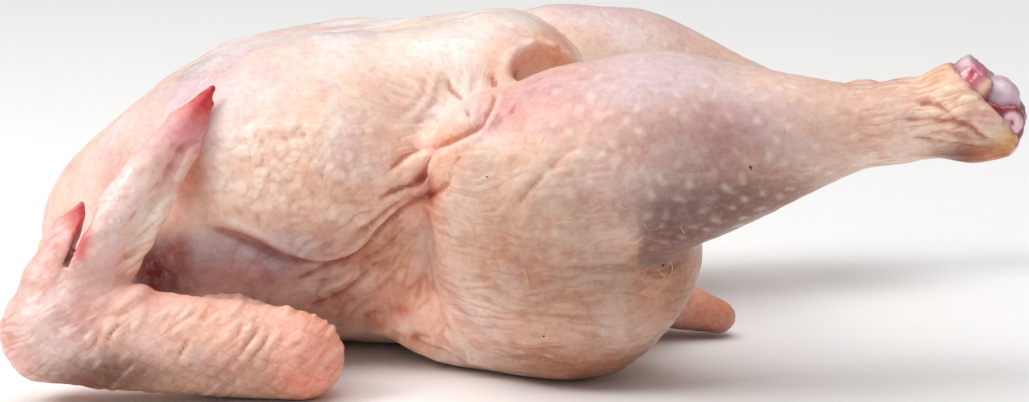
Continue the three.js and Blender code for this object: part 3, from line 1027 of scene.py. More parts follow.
class Effects:
    """The node groups that several finishes share, each made once."""

    def __init__(self) -> None:
        """Makes all the groups."""
        self.millimetres = self._millimetres()
        self.mottle = self._mottle()
        self.follicle_rows = self._follicles("follicle_rows", "2D")
        self.follicles = self._follicles("feather_follicles", "3D")
        self.creases = self._creases()
        self.grain = self._grain()

    def _millimetres(self) -> NodeTree:
        """Object coordinates in millimetres."""
        t, _, out = new_group("millimetres", {}, {"Vector": "Vector"})
        place = t.add("ShaderNodeTexCoord").outputs["Object"]
        t.link(t.vectors("MULTIPLY", place, (1 / MM,) * 3), out, "Vector")
        return t.tree

    def _mottle(self) -> NodeTree:
        """Uneven colour of skin: broad warm and cool clouds, fine marbling and threads of red."""
        inputs = {"Vector": None, "Tint": (0.8, 0.6, 0.5), "Clouds": 0.25, "Marbling": 0.2, "Redness": 0.2}
        t, given, out = new_group("skin_mottle", inputs, {"Color": "Color", "Marbling": "Float"})
        vector = given["Vector"]
        warm = t.stained(given["Tint"], srgb(255, 214, 176))
        cool = t.stained(given["Tint"], srgb(232, 206, 222))
        clouds = t.ramp(t.noise(vector, 24, 2), 0.42, 0.62)
        other = t.ramp(t.noise(t.stretched(vector, (1, 1, 1), (40, 10, 70)), 17, 2), 0.5, 0.68)
        colour = t.blend(t.product(clouds, given["Clouds"]), given["Tint"], warm)
        colour = t.blend(t.product(other, given["Clouds"]), colour, cool)
        fine = t.noise(vector, 3.4, 6, 1.2)
        light = t.product(t.ramp(fine, 0.45, 0.75), t.product(given["Marbling"], 0.2))
        dark = t.product(t.ramp(fine, 0.55, 0.25), given["Marbling"])
        colour = t.blend(light, colour, srgb(255, 246, 236))
        colour = t.blend(dark, colour, t.stained(colour, srgb(236, 204, 190)))
        sway = t.vectors("ADD", vector, t.sway(vector, 0.2, 3.0))
        threads = t.add("ShaderNodeTexVoronoi", {"feature": "DISTANCE_TO_EDGE"}, Vector=sway, Scale=0.11)
        vein = t.ramp(threads.outputs["Distance"], 0.05, 0.0, 0.0, 0.5)
        vein = t.product(t.product(vein, t.ramp(t.noise(vector, 15, 2), 0.56, 0.72)), given["Redness"])
        colour = t.blend(vein, colour, t.stained(colour, srgb(226, 120, 112)))
        t.link(colour, out, "Color")
        t.link(fine, out, "Marbling")
        return t.tree

    def _follicles(self, name: str, dimensions: str) -> NodeTree:
        """Raised pores where feathers were plucked: a blob for each, and a pit in its middle."""
        inputs = {"Vector": None, "Spacing": 5.0, "Unevenness": 0.5}
        t, given, out = new_group(name, inputs, {"Blob": "Float", "Pit": "Float", "Swell": "Float"})
        place = given["Vector"]
        bent = t.vectors("MULTIPLY_ADD", t.sway(place, 0.12), (5, 5, 5), place)
        look = {"Vector": t.vectors("DIVIDE", bent, given["Spacing"]), "Scale": 1.0, "Randomness": given["Unevenness"]}
        kind = {"feature": "F1", "voronoi_dimensions": dimensions}
        spots = t.add("ShaderNodeTexVoronoi", kind, **look).outputs["Distance"]
        t.link(t.ramp(spots, 0.38, 0.0), out, "Blob")
        t.link(t.ramp(spots, 0.13, 0.05), out, "Pit")
        t.link(t.ramp(spots, 0.78, 0.2), out, "Swell")
        return t.tree

    def _creases(self) -> NodeTree:
        """Fine wrinkles: swells with narrow creases between them, over a finer grain."""
        t, given, out = new_group("fine_creases", {"Vector": None, "Size": 2.0}, {"Height": "Float"})
        scaled = t.vectors("DIVIDE", given["Vector"], given["Size"])
        swell = t.add("ShaderNodeTexNoise", {"noise_type": "RIDGED_MULTIFRACTAL"}, Vector=scaled, Scale=0.6, Detail=2.5)
        grain = t.noise(scaled, 0.35, 2)
        height = t.weighed(grain, 0.25, t.product(swell.outputs[0], -0.35))
        t.link(height, out, "Height")
        return t.tree

    def _grain(self) -> NodeTree:
        """Long fine folds of slack skin, laid along the second part of a map in millimetres."""
        t, given, out = new_group("slack_skin", {"Vector": None}, {"Height": "Float", "Crease": "Float"})
        flat = t.vectors("MULTIPLY", given["Vector"], (1, 1, 0))
        bent = t.vectors("MULTIPLY_ADD", t.sway(flat, 0.09), (5, 5, 0), flat)
        broad = t.noise(t.stretched(bent, (0.32, 0.07, 1)), 1.0, 1.5)
        narrow = t.noise(t.stretched(bent, (0.85, 0.19, 1)), 1.0, 2.0)
        pleat = t.maths("ABSOLUTE", t.weighed(broad, 2.0, -1.0))
        pleat = t.maths("SMOOTH_MAX", pleat, 0.06, 0.12)
        here = t.ramp(t.noise(flat, 9, 3), 0.36, 0.62, 0.25, 1.0)
        height = t.weighed(narrow, 0.45, t.product(pleat, t.product(here, 1.6)))
        t.link(height, out, "Height")
        t.link(t.product(t.ramp(pleat, 0.22, 0.06), here), out, "Crease")
        return t.tree



def start_material(name: str) -> tuple[Tree, Node]:
    """Makes an empty material with a Principled shader."""
    material = bpy.data.materials.new(name)
    material.use_nodes = True
    material.node_tree.nodes.clear()
    tree = Tree(material.node_tree)
    shader = tree.add("ShaderNodeBsdfPrincipled")
    out = tree.add("ShaderNodeOutputMaterial")
    tree.tree.links.new(shader.outputs[0], out.inputs["Surface"])
    return tree, shader


def set_shader(shader: Node, **values: object) -> None:
    """Sets plain values on a shader's own sockets, with _ for a blank in a name."""
    for key, value in values.items():
        shader.inputs[key.replace("_", " ")].default_value = value


@dataclass(frozen=True)
class SkinFinish:
    """Moist raw skin: reads its tint, relief and state from the mesh, and paints shade into hollows and light on ridges
    and wet spots.
    """

    name: str
    clouds: float = 0.35
    marbling: float = 0.35
    redness: float = 0.35
    roughness: float = 0.44
    grain_size: float = 1.6
    lattice: bool = False  # whether fine cracks cross the skin, as on a forearm

    def make(self, effects: Effects) -> Material:
        """Builds the material.

        Args:
            effects: the shared node groups.

        Returns:
            The material.
        """
        t, shader = start_material(self.name)
        place = t.use(effects.millimetres)["Vector"]
        attribute = lambda key: t.add("ShaderNodeAttribute", {"attribute_name": key}).outputs["Vector"]
        base = t.add("ShaderNodeAttribute", {"attribute_name": "tint"}).outputs["Color"]
        flow, shin_map = attribute("flow"), attribute("shin_map")
        slack, level = t.split(flow)[2], t.split(shin_map)[2]
        leg_pores, side_pores, scaly = t.split(attribute("relief"))
        wet, blood, crease = t.split(attribute("state"))

        redness = t.weighed(blood, 0.8, self.redness)
        look = {"Clouds": self.clouds, "Marbling": self.marbling, "Redness": redness}
        colour = t.use(effects.mottle, Vector=place, Tint=base, **look)["Color"]
        # painted shade: the hollows of the relief are darkened and reddened, and painted light lightens its ridges
        red = t.stained(colour, srgb(206, 148, 124))
        colour = t.blend(t.ramp(crease, 0.0, 1.0, 0.0, 0.75), colour, red)
        colour = t.blend(t.ramp(crease, 0.0, -0.6, 0.0, 0.3), colour, srgb(255, 240, 230))
        folds = t.use(effects.grain, Vector=flow)
        bands = t.use(effects.grain, Vector=t.turned(place, (90, 6, 90)))
        # the creases of the slack skin's folds and bands are darkened: partly their own brownish lines, partly painted
        # shade
        plain = t.product(folds["Crease"], t.ramp(slack, 0.02, 0.3, 0.05, 0.6))
        plain = t.weighed(bands["Crease"], t.ramp(level, 0.02, 0.2, 0.0, 0.5), plain)
        colour = t.blend(plain, colour, t.stained(colour, srgb(222, 184, 162)))

        leg = t.use(effects.follicle_rows, Vector=shin_map, Spacing=5.8, Unevenness=0.5)
        uneven = t.ramp(t.noise(place, 6, 2), 0.35, 0.65, 0.25, 1.0)
        leg_blob = t.product(leg["Blob"], t.product(leg_pores, uneven))
        colour = t.blend(t.product(leg_blob, 0.45), colour, srgb(244, 226, 208))
        side = t.use(effects.follicles, Vector=place, Spacing=4.3, Unevenness=0.8)
        side_blob = t.product(side["Blob"], side_pores)
        colour = t.blend(t.product(side_blob, 0.4), colour, srgb(252, 222, 196))
        pits = t.product(side["Pit"], t.product(side_pores, t.ramp(t.noise(place, 9, 1), 0.45, 0.6)))
        colour = t.blend(t.product(pits, 0.5), colour, srgb(176, 96, 70))

        cobbles = t.use(effects.follicles, Vector=place, Spacing=3.6, Unevenness=1.0)["Swell"]
        # painted shade: the gaps between the cobbles on the side of the breast are darkened
        gap = t.product(t.maths("SUBTRACT", 1.0, cobbles), side_pores)
        colour = t.blend(t.product(gap, 0.26), colour, t.stained(colour, srgb(216, 158, 130)))
        speck = t.noise(place, 2.0, 4, 0.4)
        colour = t.blend(t.ramp(speck, 0.5, 0.3, 0.0, 0.2), colour, t.stained(colour, srgb(224, 186, 168)))
        colour = t.blend(t.ramp(speck, 0.52, 0.74, 0.0, 0.07), colour, srgb(255, 246, 238))
        film = t.product(t.ramp(t.noise(place, 5, 5, 0.8), 0.42, 0.62), wet)
        # painted highlight: white glints are laid into the colour where the moist film lies thick
        painted_glint_spots = t.product(t.product(film, wet), t.ramp(t.noise(place, 2.6, 5, 1.5), 0.54, 0.62))
        colour = t.blend(t.product(painted_glint_spots, 0.85), colour, srgb(255, 250, 248))

        fine = t.use(effects.creases, Vector=place, Size=self.grain_size)["Height"]
        height = t.product(fine, scaly)
        deep = t.product(side_pores, 0.4), t.product(level, 1.6)
        parts = ((cobbles, deep[0]), (painted_glint_spots, 0.3), (speck, 0.1), (folds["Height"], slack), (bands["Height"], deep[1]))
        for part, weight in (*parts, (leg_blob, 0.2), (side_blob, 0.25)):
            height = t.weighed(part, weight, height)
        if self.lattice:
            groove, crack = self.cracks(t, attribute("lattice"), place)
            height = t.weighed(groove, -0.26, height)
            # painted shade darkens the wide grooves of the lattice; the thin cracks below take their own brown
            colour = t.blend(t.product(groove, 0.22), colour, t.stained(colour, srgb(226, 176, 150)))
            colour = t.blend(t.product(crack, 0.34), colour, t.stained(colour, srgb(196, 142, 118)))
        t.link(colour, shader, "Base Color")
        bump = t.add("ShaderNodeBump", None, Strength=1.0, Distance=1.0 * MM, Height=height)
        t.link(bump.outputs[0], shader, "Normal")

        patchy = t.noise(place, 7, 4)
        rough = t.weighed(patchy, 0.22, self.roughness - 0.11)
        rough = t.weighed(wet, -0.22, rough)
        t.link(t.maths("MAXIMUM", rough, 0.12), shader, "Roughness")
        t.link(t.weighed(film, 0.75, 0.15), shader, "Coat Weight")
        set_shader(shader, Coat_Roughness=0.14, Coat_IOR=1.34, IOR=1.42, Specular_IOR_Level=0.45)
        set_shader(shader, Subsurface_Weight=0.25, Subsurface_Radius=(1.0, 0.38, 0.22), Subsurface_Scale=1.8 * MM)
        return bpy.data.materials[self.name]

    @staticmethod
    def cracks(t: Tree, phases: Socket, place: Socket) -> tuple[Socket, Socket]:
        """Draws two families of grooves, one at each whole number of either phase: wide, and their floor."""
        first, second, amount = t.split(phases)
        bend = t.weighed(t.noise(place, 8, 3), 1.5, -0.75)
        wide, thin = [], []
        for phase, sign in ((first, 1.0), (second, -1.0)):
            off = t.maths("PINGPONG", t.weighed(bend, sign, phase), 0.5)
            wide.append(t.ramp(off, 0.34, 0.0))
            thin.append(t.ramp(off, 0.09, 0.0))
        broken = t.product(t.ramp(t.noise(place, 6, 3), 0.36, 0.62, 0.2, 1.0), amount)
        return tuple(t.product(t.maths("MAXIMUM", *lines), broken) for lines in (wide, thin))


@dataclass(frozen=True)
class BoneFinish:
    """Gristle and bone at the cut hock: slick, pale lilac and stained red where it was cut."""

    name: str = "gristle_and_bone"

    def make(self, effects: Effects) -> Material:
        """Builds the material from the tint on the mesh."""
        t, shader = start_material(self.name)
        place = t.use(effects.millimetres)["Vector"]
        base = t.add("ShaderNodeAttribute", {"attribute_name": "tint"}).outputs["Color"]
        mottle = t.use(effects.mottle, Vector=place, Tint=base, Clouds=0.3, Marbling=0.25, Redness=0.5)
        t.link(mottle["Color"], shader, "Base Color")
        fine = t.use(effects.creases, Vector=place, Size=1.1)["Height"]
        bump = t.add("ShaderNodeBump", None, Strength=0.35, Distance=0.3 * MM, Height=fine)
        t.link(bump.outputs[0], shader, "Normal")
        t.link(t.ramp(t.noise(place, 3, 3), 0.3, 0.8, 0.16, 0.4), shader, "Roughness")
        t.link(t.ramp(t.noise(place, 2, 4), 0.4, 0.6, 0.3, 0.9), shader, "Coat Weight")
        set_shader(shader, Coat_Roughness=0.08, IOR=1.45)
        set_shader(shader, Subsurface_Weight=0.3, Subsurface_Radius=(1.0, 0.5, 0.4), Subsurface_Scale=3.0 * MM)
        return bpy.data.materials[self.name]


@dataclass(frozen=True)
class PlainFinish:
    """A finish of one hue with soft clouds in it, for hairs, specks and the floor."""

    name: str
    colour: Colour
    other: Colour
    size: float
    roughness: float

    def make(self, effects: Effects) -> Material:
        """Builds the material."""
        t, shader = start_material(self.name)
        place = t.use(effects.millimetres)["Vector"]
        share = t.ramp(t.noise(place, self.size, 4), 0.35, 0.65)
        t.link(t.blend(share, self.colour, self.other), shader, "Base Color")
        t.link(t.ramp(share, 0, 1, self.roughness - 0.05, self.roughness + 0.05), shader, "Roughness")
        return bpy.data.materials[self.name]


# ---- dressed pieces


@dataclass
class BodySkin:
    """Trunk and legs as one skin, with its folds, wrinkles, pores and tints."""

    bird: Bird
    cell: float = 2.1
    low: Point = (-163, -124, -4.6)
    high: Point = (154, 124, 108)
    base: Colour = srgb(243, 220, 208)
    folds: tuple[Fold, ...] = rows_of(Fold, (
        # side of the breast
        ((-86, 69, -78, 71.5, -68, 73, -60, 73.5, -52, 71), 0.3, 1.4, 0.15),
        ((-96, 53, -84, 49, -77, 46, -71, 43, -64, 39.5, -54, 38, -47, 40, -39, 45, -30, 53), -1.3, 2.4),
        ((-96, 48, -84, 44.5, -76, 41.5, -69, 37, -62, 34, -54, 33.5, -46, 36, -38, 41.5), 1.5, 2.2, 0.4),
        ((-50, 95, -40, 96, -30, 97.5, -21, 98.5, -12, 98, -5, 97), -0.4, 1.5, -0.1),
        ((-40, 99, -21, 100, -10, 101, 1, 101), 0.2, 1.4),
        # short wrinkles that run down to the web
        ((9, 98, 6.5, 94, 4, 90.5), 0.5, 1.0, -0.3),
        ((14, 97, 12.5, 93.5, 11, 90.5), 0.4, 0.9, -0.2),
        ((-23, 91, -24, 87, -25, 83, -28, 80, -31, 78), -0.5, 1.1, -0.3),
        ((-27, 90, -28, 86, -31, 82, -36, 79), -0.3, 1.1, -0.2),
        ((-20, 90, -19, 86, -17, 84, -14, 82, -12, 79), 0.8, 1.1, 0.4),
        ((-9, 88, -10.5, 85, -12, 81, -13, 78), -0.6, 1.0, -0.3),
        ((-13, 90, -14, 86, -14.5, 82), -0.6, 0.9, -0.3),
        ((-7, 90, -6, 86, -8, 82, -10, 78), 1.2, 1.0, 0.4),
        ((-2, 89, -4, 85, -6, 81, -8, 78), -0.7, 1.0, -0.3),
        ((1, 90, 0, 86, -2, 82), 0.9, 1.0),
        ((-32, 75, -26, 77, -19, 77.5, -13, 78), 0.5, 1.1, 0.3),
        ((-36, 72, -29, 74, -22, 75.5), 0.4, 1.0, 0.2),
        # the web between breast and thigh
        ((-8, 80, -12, 78, -19, 74, -23, 71, -26, 66, -29, 60, -35, 57, -42, 53), 2.6, 1.3, 0.7),
        ((-19, 74, -27, 70, -32, 67, -38, 62), 0.9, 1.1, 0.4),
        ((-24, 67, -26, 63, -29, 58, -34, 53, -40, 47.5, -50, 41), 1.5, 1.1, -0.6),
        ((-16, 67, -23, 58, -29, 53, -37, 46, -47, 38), 1.6, 1.2, -0.7),
        ((-19, 72, -22, 67, -25, 62), -1.0, 1.8),
        ((-15, 71, -18, 67, -20, 63), 0.6, 1.0),
        # flank
        ((-73, 27, -62, 29.5, -54, 33, -46, 38, -39, 44, -32, 51, -27, 57), 1.5, 1.2, -0.5),
        ((-69, 26.5, -57, 28, -50, 31, -44, 35, -37, 40, -32, 45, -27, 52), 1.1, 1.1, -0.5),
        ((-66, 16, -58, 20, -51, 24, -46, 29, -42, 33, -37, 36), 1.3, 1.0, -0.8),
        ((-62, 15, -51, 20, -45, 23, -40, 26, -35, 31), 0.7, 1.1, -0.3),
        ((-56, 10, -46, 15, -38, 19), 0.6, 1.1, -0.3),
        ((-48, 44, -40, 49, -33, 55), 0.6, 1.0, 0.3),
        ((-25, 56, -25.5, 48, -26, 40, -25, 32, -23, 24, -20, 17, -14, 11), 0.5, 1.5, 0.3),
        ((-28.5, 44, -29, 36, -28, 28, -26, 22), 0.25, 1.0),
        ((-46, 9, -36, 13, -31, 15, -29, 21), -1.2, 1.8, 0.4),
        ((-33, 12, -24, 8, -13, 4.5), 0.9, 1.3, -0.5),
        ((-26, 13, -18, 8, -8, 5), -0.7, 1.4),
        # thigh
        ((11, 39, 20, 39.5, 27, 40, 36, 39), 0.55, 1.0, 0.15),
        ((-12, 31, -9, 28.5, -3, 26, 3, 25, 13, 25, 25, 25, 35, 29), 0.5, 1.0, 0.35),
        ((14, 36, 24, 35.2, 33, 35, 37, 36.5), 0.35, 1.0),
        ((8, 31, 18, 31, 27, 30, 35, 32.5), 0.35, 1.0),
        ((-6, 50, 4, 50.5, 12, 51), 0.25, 1.2),
        ((-7, 45, 3, 45, 12, 45), 0.25, 1.2),
        ((-10, 40, -4, 40, 4, 40), 0.25, 1.1),
        ((28, 64, 31, 58, 33, 53, 35, 47, 35, 42, 37, 38), 0.5, 1.0, -0.3),
        ((36, 37.5, 41, 36.5, 46, 38, 51, 41), 0.9, 1.1),
        ((55, 42, 57, 32, 57, 20, 54, 12), 0.5, 1.1, 0.2),
        ((50, 38, 54, 28, 55, 17, 53, 10), 0.45, 1.1),
        ((45, 34, 49, 27, 50, 18), 0.35, 1.1),
        ((-3, 15, 3, 13.5, 10, 14, 16, 16), 0.6, 1.0, 0.3),
        ((-4, 8.5, 1, 10, 7, 11, 14, 8, 21, 9), 0.6, 1.0, 0.3),
        ((-7, 20, -4, 15, -1, 12), -0.4, 0.9),
        ((13, 75, 7, 70, 1, 63, -4, 55, -6, 48), -0.5, 2.0, -0.2),
        ((24, 77, 17, 72, 10, 65, 4, 57, 0, 48), -0.5, 2.0, -0.2),
        ((19, 78, 12, 72, 5, 64, -1, 56), 0.35, 1.1),
        ((27, 80, 29, 74, 27, 68, 23, 62), -0.45, 1.6, -0.2),
        ((14, 73, 20, 75.5, 26, 74.5, 33, 76.5, 40, 75), 0.45, 1.1),
        # slack skin at the hock
        ((110, 87, 114, 88, 117, 87, 121, 84, 127, 85), 0.9, 0.9, 0.6, RIGHT),
        ((112, 84.5, 116, 84, 121, 83, 125, 82, 127, 80, 132, 78), 1.0, 0.9, 0.5, RIGHT),
        ((110, 80.5, 114, 80, 120, 80, 127, 79), 0.6, 0.8, 0.3, RIGHT),
        ((104, 83, 109, 83.5, 114, 83, 119, 82.5), 0.45, 0.8, 0.2, RIGHT),
        ((103, 79, 109, 79, 116, 77.5, 122, 77, 130, 77), 0.6, 0.8, 0.3, RIGHT),
        ((128, 92, 130, 90, 133, 87, 137, 83, 138, 80), 0.7, 0.8, 0.3, RIGHT),
        ((127, 89, 130, 87, 133, 84, 135, 81), 0.5, 0.8, 0.3, RIGHT),
        ((117, 93, 121, 91, 125, 88), -0.6, 1.6, 0.0, RIGHT),
    ))
    tints: tuple[Tint, ...] = rows_of(tint, (
        ((236, 208, 198), (-138, 20, 42), (30, 60, 26), 0.85),
        ((255, 248, 244), (-52, 20, 104), (70, 34, 22), 0.85),
        ((236, 220, 220), (-70, 34, 92), (26, 20, 12), 0.8),
        ((230, 214, 222), (-102, 40, 80), (24, 26, 13), 0.7),
        ((234, 214, 218), (-112, 40, 68), (15, 22, 11), 0.5),
        ((240, 206, 194), (-118, 44, 58), (14, 22, 9), 0.5),
        ((254, 238, 228), (-62, 60, 71), (34, 16, 11), 0.9),
        ((240, 200, 174), (-58, 60, 58), (32, 14, 7), 0.75),
        ((255, 234, 218), (-78, 60, 57), (12, 14, 8), 0.9),
        ((240, 196, 168), (-36, 58, 58), (16, 14, 9), 0.6),
        # painted highlight: a pale band along the ridge at the lower edge of the breast
        ((238, 200, 178), (-64, 58, 46), (30, 10, 5), 0.8),
        ((206, 138, 112), (-95, 56, 61), (6, 16, 8), 0.7),
        ((190, 186, 202), (-78, 57, 36), (30, 18, 10), 0.95),
        ((196, 154, 152), (-88, 57, 31), (20, 18, 9), 0.8),
        # dark red to near black behind the wing's hand: the skin's own dark red and painted shadow of the hand
        ((96, 14, 14), (-107, 56, 31), (12, 20, 14)),
        ((140, 50, 48), (-99, 58, 39), (5, 12, 5), 0.6),
        ((194, 124, 80), (-44, 54, 38), (13, 16, 8), 0.8),
        ((214, 152, 126), (-52, 50, 16), (30, 24, 11), 0.8),
        ((255, 236, 226), (-38, 58, 67), (15, 14, 8), 0.85),
        ((240, 176, 150), (-25, 62, 58), (9, 16, 18), 0.6),
        ((250, 186, 150), (-20, 70, 71), (9, 14, 8), 0.8),
        # painted shade in the crease of the web, over its own orange-red
        ((160, 44, 16), (-26, 62, 58.5), (3.8, 10, 6)),
        # painted light: the lower flank round the red mark is made paler than the skin, standing in for light on this
        # underside
        ((255, 198, 172), (-30, 50, 18), (13, 18, 14), 0.85),
        ((255, 214, 194), (-34, 48, 17.5), (10, 12, 6), 0.95),
        ((232, 116, 98), (-33, 48, 19.5), (3.6, 12, 1.8), 0.7),
        ((240, 180, 152), (-4, 36, 90), (7, 20, 9), 0.7),
        ((255, 194, 158), (11, 24, 93), (14, 14, 8), 0.75),
        ((255, 176, 146), (16, 14, 98), (10, 16, 6), 0.7),
        ((218, 188, 168), (-4, 80, 48), (20, 20, 26), 0.9),
        ((200, 164, 148), (16, 84, 58), (16, 20, 12), 0.7),
        ((190, 152, 130), (18, 80, 38), (30, 26, 22), 0.85),
        # painted shade: the underside of the thigh is darker
        ((158, 98, 56), (18, 66, 7), (28, 34, 9.5), 0.85),
        ((206, 140, 104), (42, 66, 32), (12, 24, 18), 0.75),
        ((184, 132, 98), (52, 70, 30), (9, 24, 16), 0.75),
        ((228, 176, 172), (10, 78, 88), (30, 26, 11), 0.8),
        ((240, 168, 160), (-2, 78, 82), (9, 14, 5), 0.45),
        ((208, 184, 192), (42, 84, 92), (26, 26, 12), 0.8),
        ((178, 140, 142), (54, 92, 76), (32, 22, 11), 0.8),
        ((138, 106, 96), (64, 90, 60), (34, 22, 9), 0.9),
        ((220, 190, 178), (94, 88, 86), (20, 20, 16), 0.8, RIGHT),
        ((244, 202, 168), (118, 90, 92), (14, 24, 16), 0.7, RIGHT),
        ((200, 138, 122), (123, 94, 82), (7, 16, 5), 0.6, RIGHT),
        ((100, 52, 30), (127, 94, 72.8), (12, 20, 5.1), 0.95, RIGHT),
        ((186, 104, 30), (133, 94, 73.5), (8.5, 16, 5.4), 0.95, RIGHT),
        ((242, 206, 176), (118, 90, 70), (20, 22, 12), 0.85, LEFT),
        ((206, 100, 84), (131, 92, 68), (5, 16, 6), 0.6, LEFT),
        ((186, 104, 30), (134, 94, 45), (9, 16, 6), 0.9, LEFT),
        ((224, 178, 84), (137, 96, 79.5), (5.5, 12, 3.6), 0.95, RIGHT),
        ((228, 210, 216), (36, 64, 92), (26, 18, 14), 0.85, LEFT),
        ((255, 206, 182), (74, 70, 84), (20, 18, 10), 0.7, LEFT),
        ((216, 122, 76), (62, 0, 10), (16, 20, 12), 0.8),
        # painted shade under the tail
        ((150, 76, 50), (56, 0, 3), (18, 14, 4), 0.8),
        ((226, 166, 140), (-134, 0, 16), (18, 30, 14), 0.6),
        ((226, 160, 158), (-56, 9, 99), (9, 4, 7), 0.5),
    ))
    bumpy: tuple[Patch, ...] = rows_of(Patch, (  # where plucked pores stand up on the side of the breast
        ((-62, 60, 62), (34, 20, 16)),
        ((-38, 60, 56), (18, 16, 14), 0.8),
        ((-6, 80, 84), (14, 18, 9), 0.35),
    ))
    wrinkled: tuple[Patch, ...] = rows_of(Patch, (  # where the skin is finely wrinkled
        ((0, 74, 12), (44, 34, 16)),
        ((118, 90, 82), (20, 22, 22)),
        ((-48, 54, 20), (40, 20, 18)),
        ((-130, 0, 18), (24, 40, 20)),
        ((44, 66, 30), (16, 26, 20)),
    ))
    # these patches also set where the finish paints white glints as highlights
    wet: tuple[Patch, ...] = rows_of(Patch, (  # where moisture stands on the skin
        ((-58, 14, 99), (26, 24, 8), 0.5),
        ((-93, 30, 88), (16, 16, 7)),
        ((-98, 40, 82), (14, 22, 12), 0.7),
        ((-112, 44, 66), (16, 16, 12), 0.6),
        ((-14, 22, 100), (26, 24, 8), 0.4),
        ((20, 80, 90), (40, 20, 8), 0.35),
        ((-76, 57, 33), (30, 18, 14), 0.25),
        ((60, 0, 12), (16, 16, 12), 0.5),
    ))
    bloody: tuple[Patch, ...] = rows_of(Patch, (  # where red threads and bruises show through
        ((-56, 10, 99), (16, 8, 8), 0.8),
        ((-104, 44, 78), (14, 20, 12), 0.5),
        ((-96, 56, 36), (18, 16, 16), 0.8),
        ((-34, 48, 17), (12, 14, 7), 0.9),
        ((2, 24, 97), (14, 12, 8), 0.6),
    ))
    calf_purple: Colour = srgb(122, 90, 88)
    spot_brown: Colour = srgb(168, 116, 96)
    brown_spots: Curve = (  # in side view, on the thighs
        *((3, 46), (10, 46), (1, 41), (6, 41), (11, 40)),
        *((-10, 35), (1, 36), (8, 35), (14, 36), (-3, 31), (3, 31), (10, 30)),
    )
    cavity_red: Colour = srgb(158, 70, 64)
    cavity_pale: Colour = srgb(214, 160, 146)
    meat: Colour = srgb(176, 72, 74)
    fat: Colour = srgb(240, 196, 178)

    def build(self, effects: Effects) -> Object:
        """Skins, folds and dresses the piece.

        Args:
            effects: the shared node groups.

        Returns:
            The finished object.
        """
        bird = self.bird
        shape = bird.body()
        skin = skinned(shape, self.low, self.high, self.cell)
        skin = refined(skin, shape, self.detailed(skin), self.cell / 2)
        even(skin, 0.2)
        rest, facing = skin.points.copy(), skin.normals.copy()
        inside = smooth(-bird.trunk.flesh()(rest), 1.5, 5) * (np.abs(rest[:, 1]) < 34)
        inside *= smooth(bird.trunk.hollow()(rest), 4, 1)
        drum = shin, along, around = self.shin_map(rest)
        cut = self.cut_face(rest)
        still = (1 - inside) * (1 - cut)
        to_thigh = np.min([np.abs(leg.thigh()(rest)) for leg in bird.legs], axis=0)
        thigh = smooth(to_thigh, 3.0, 0.75) * (1 - shin) * still
        mirrored = rest.copy()
        mirrored[:, 1] = np.abs(mirrored[:, 1]) + OTHER_SIDE * (rest[:, 1] > 0)

        sideways = smooth(np.abs(facing[:, 1]), 0.12, 0.5) * (rest[:, 1] * facing[:, 1] > 0) * still
        creases = np.zeros(len(rest))
        for fold in self.folds:
            creases += fold.relief(skin, sideways)
        relief = creases + self.wrinkles(mirrored, thigh, drum, still)
        relief += self.ribs(rest) * inside
        relief *= smooth(rest[:, 2], 0.2, 3.0)
        skin.push(relief)
        skin.points[:, 2] = np.maximum(skin.points[:, 2], REST_HEIGHT)
        skin.refresh_normals()

        flow, level = self.flow(rest, drum, still)
        leg_pores = shin * smooth(along, -12, 10) * smooth(along, 104, 88) * still
        leg_pores *= 1 - 0.6 * most(rest, (Patch((42, 88, 48), (16, 40, 12)),))
        side_pores = most(rest, self.bumpy) * still
        scaly = 0.16 + 0.45 * most(rest, self.wrinkled) + 0.15 * side_pores
        wet = np.clip(most(rest, self.wet) + inside * 0.8 + cut * 0.9, 0, 1)
        blood = np.clip(most(rest, self.bloody) + inside, 0, 1)
        # painted shade for the hollows of the relief and painted light for its ridges, laid into the colour by the
        # finish
        hollow = blurred(skin, relief, 8) - relief
        shade = (smooth(hollow, 0.05, 0.6) - 0.6 * smooth(-hollow, 0.06, 0.55)) * (1 - 0.45 * thigh)
        piece = make_piece(
            "body_skin",
            skin,
            self.colours(rest, inside, cut),
            relief=stack(leg_pores, side_pores, scaly),
            state=stack(wet, blood, shade),
            shin_map=stack((along + around) / math.sqrt(2), (along - around) / math.sqrt(2), level),
            flow=flow,
        )
        return handed_over(piece, SkinFinish("moist_skin").make(effects), "chicken")

    @staticmethod
    def detailed(skin: Skin) -> np.ndarray:
        """Which faces get finer: those of the bird's right side and top, where the small folds lie."""
        middle, facing = skin.points[skin.quads].mean(1), skin.normals[skin.quads].mean(1)
        outward = facing[:, 1] * -0.97 + facing[:, 2] * 0.25 > -0.12
        inner = (middle[:, 1] > -30) & (middle[:, 2] < 80) & (middle[:, 0] > -100)
        return outward & (middle[:, 1] < 8) & (middle[:, 2] > 3) & ~inner

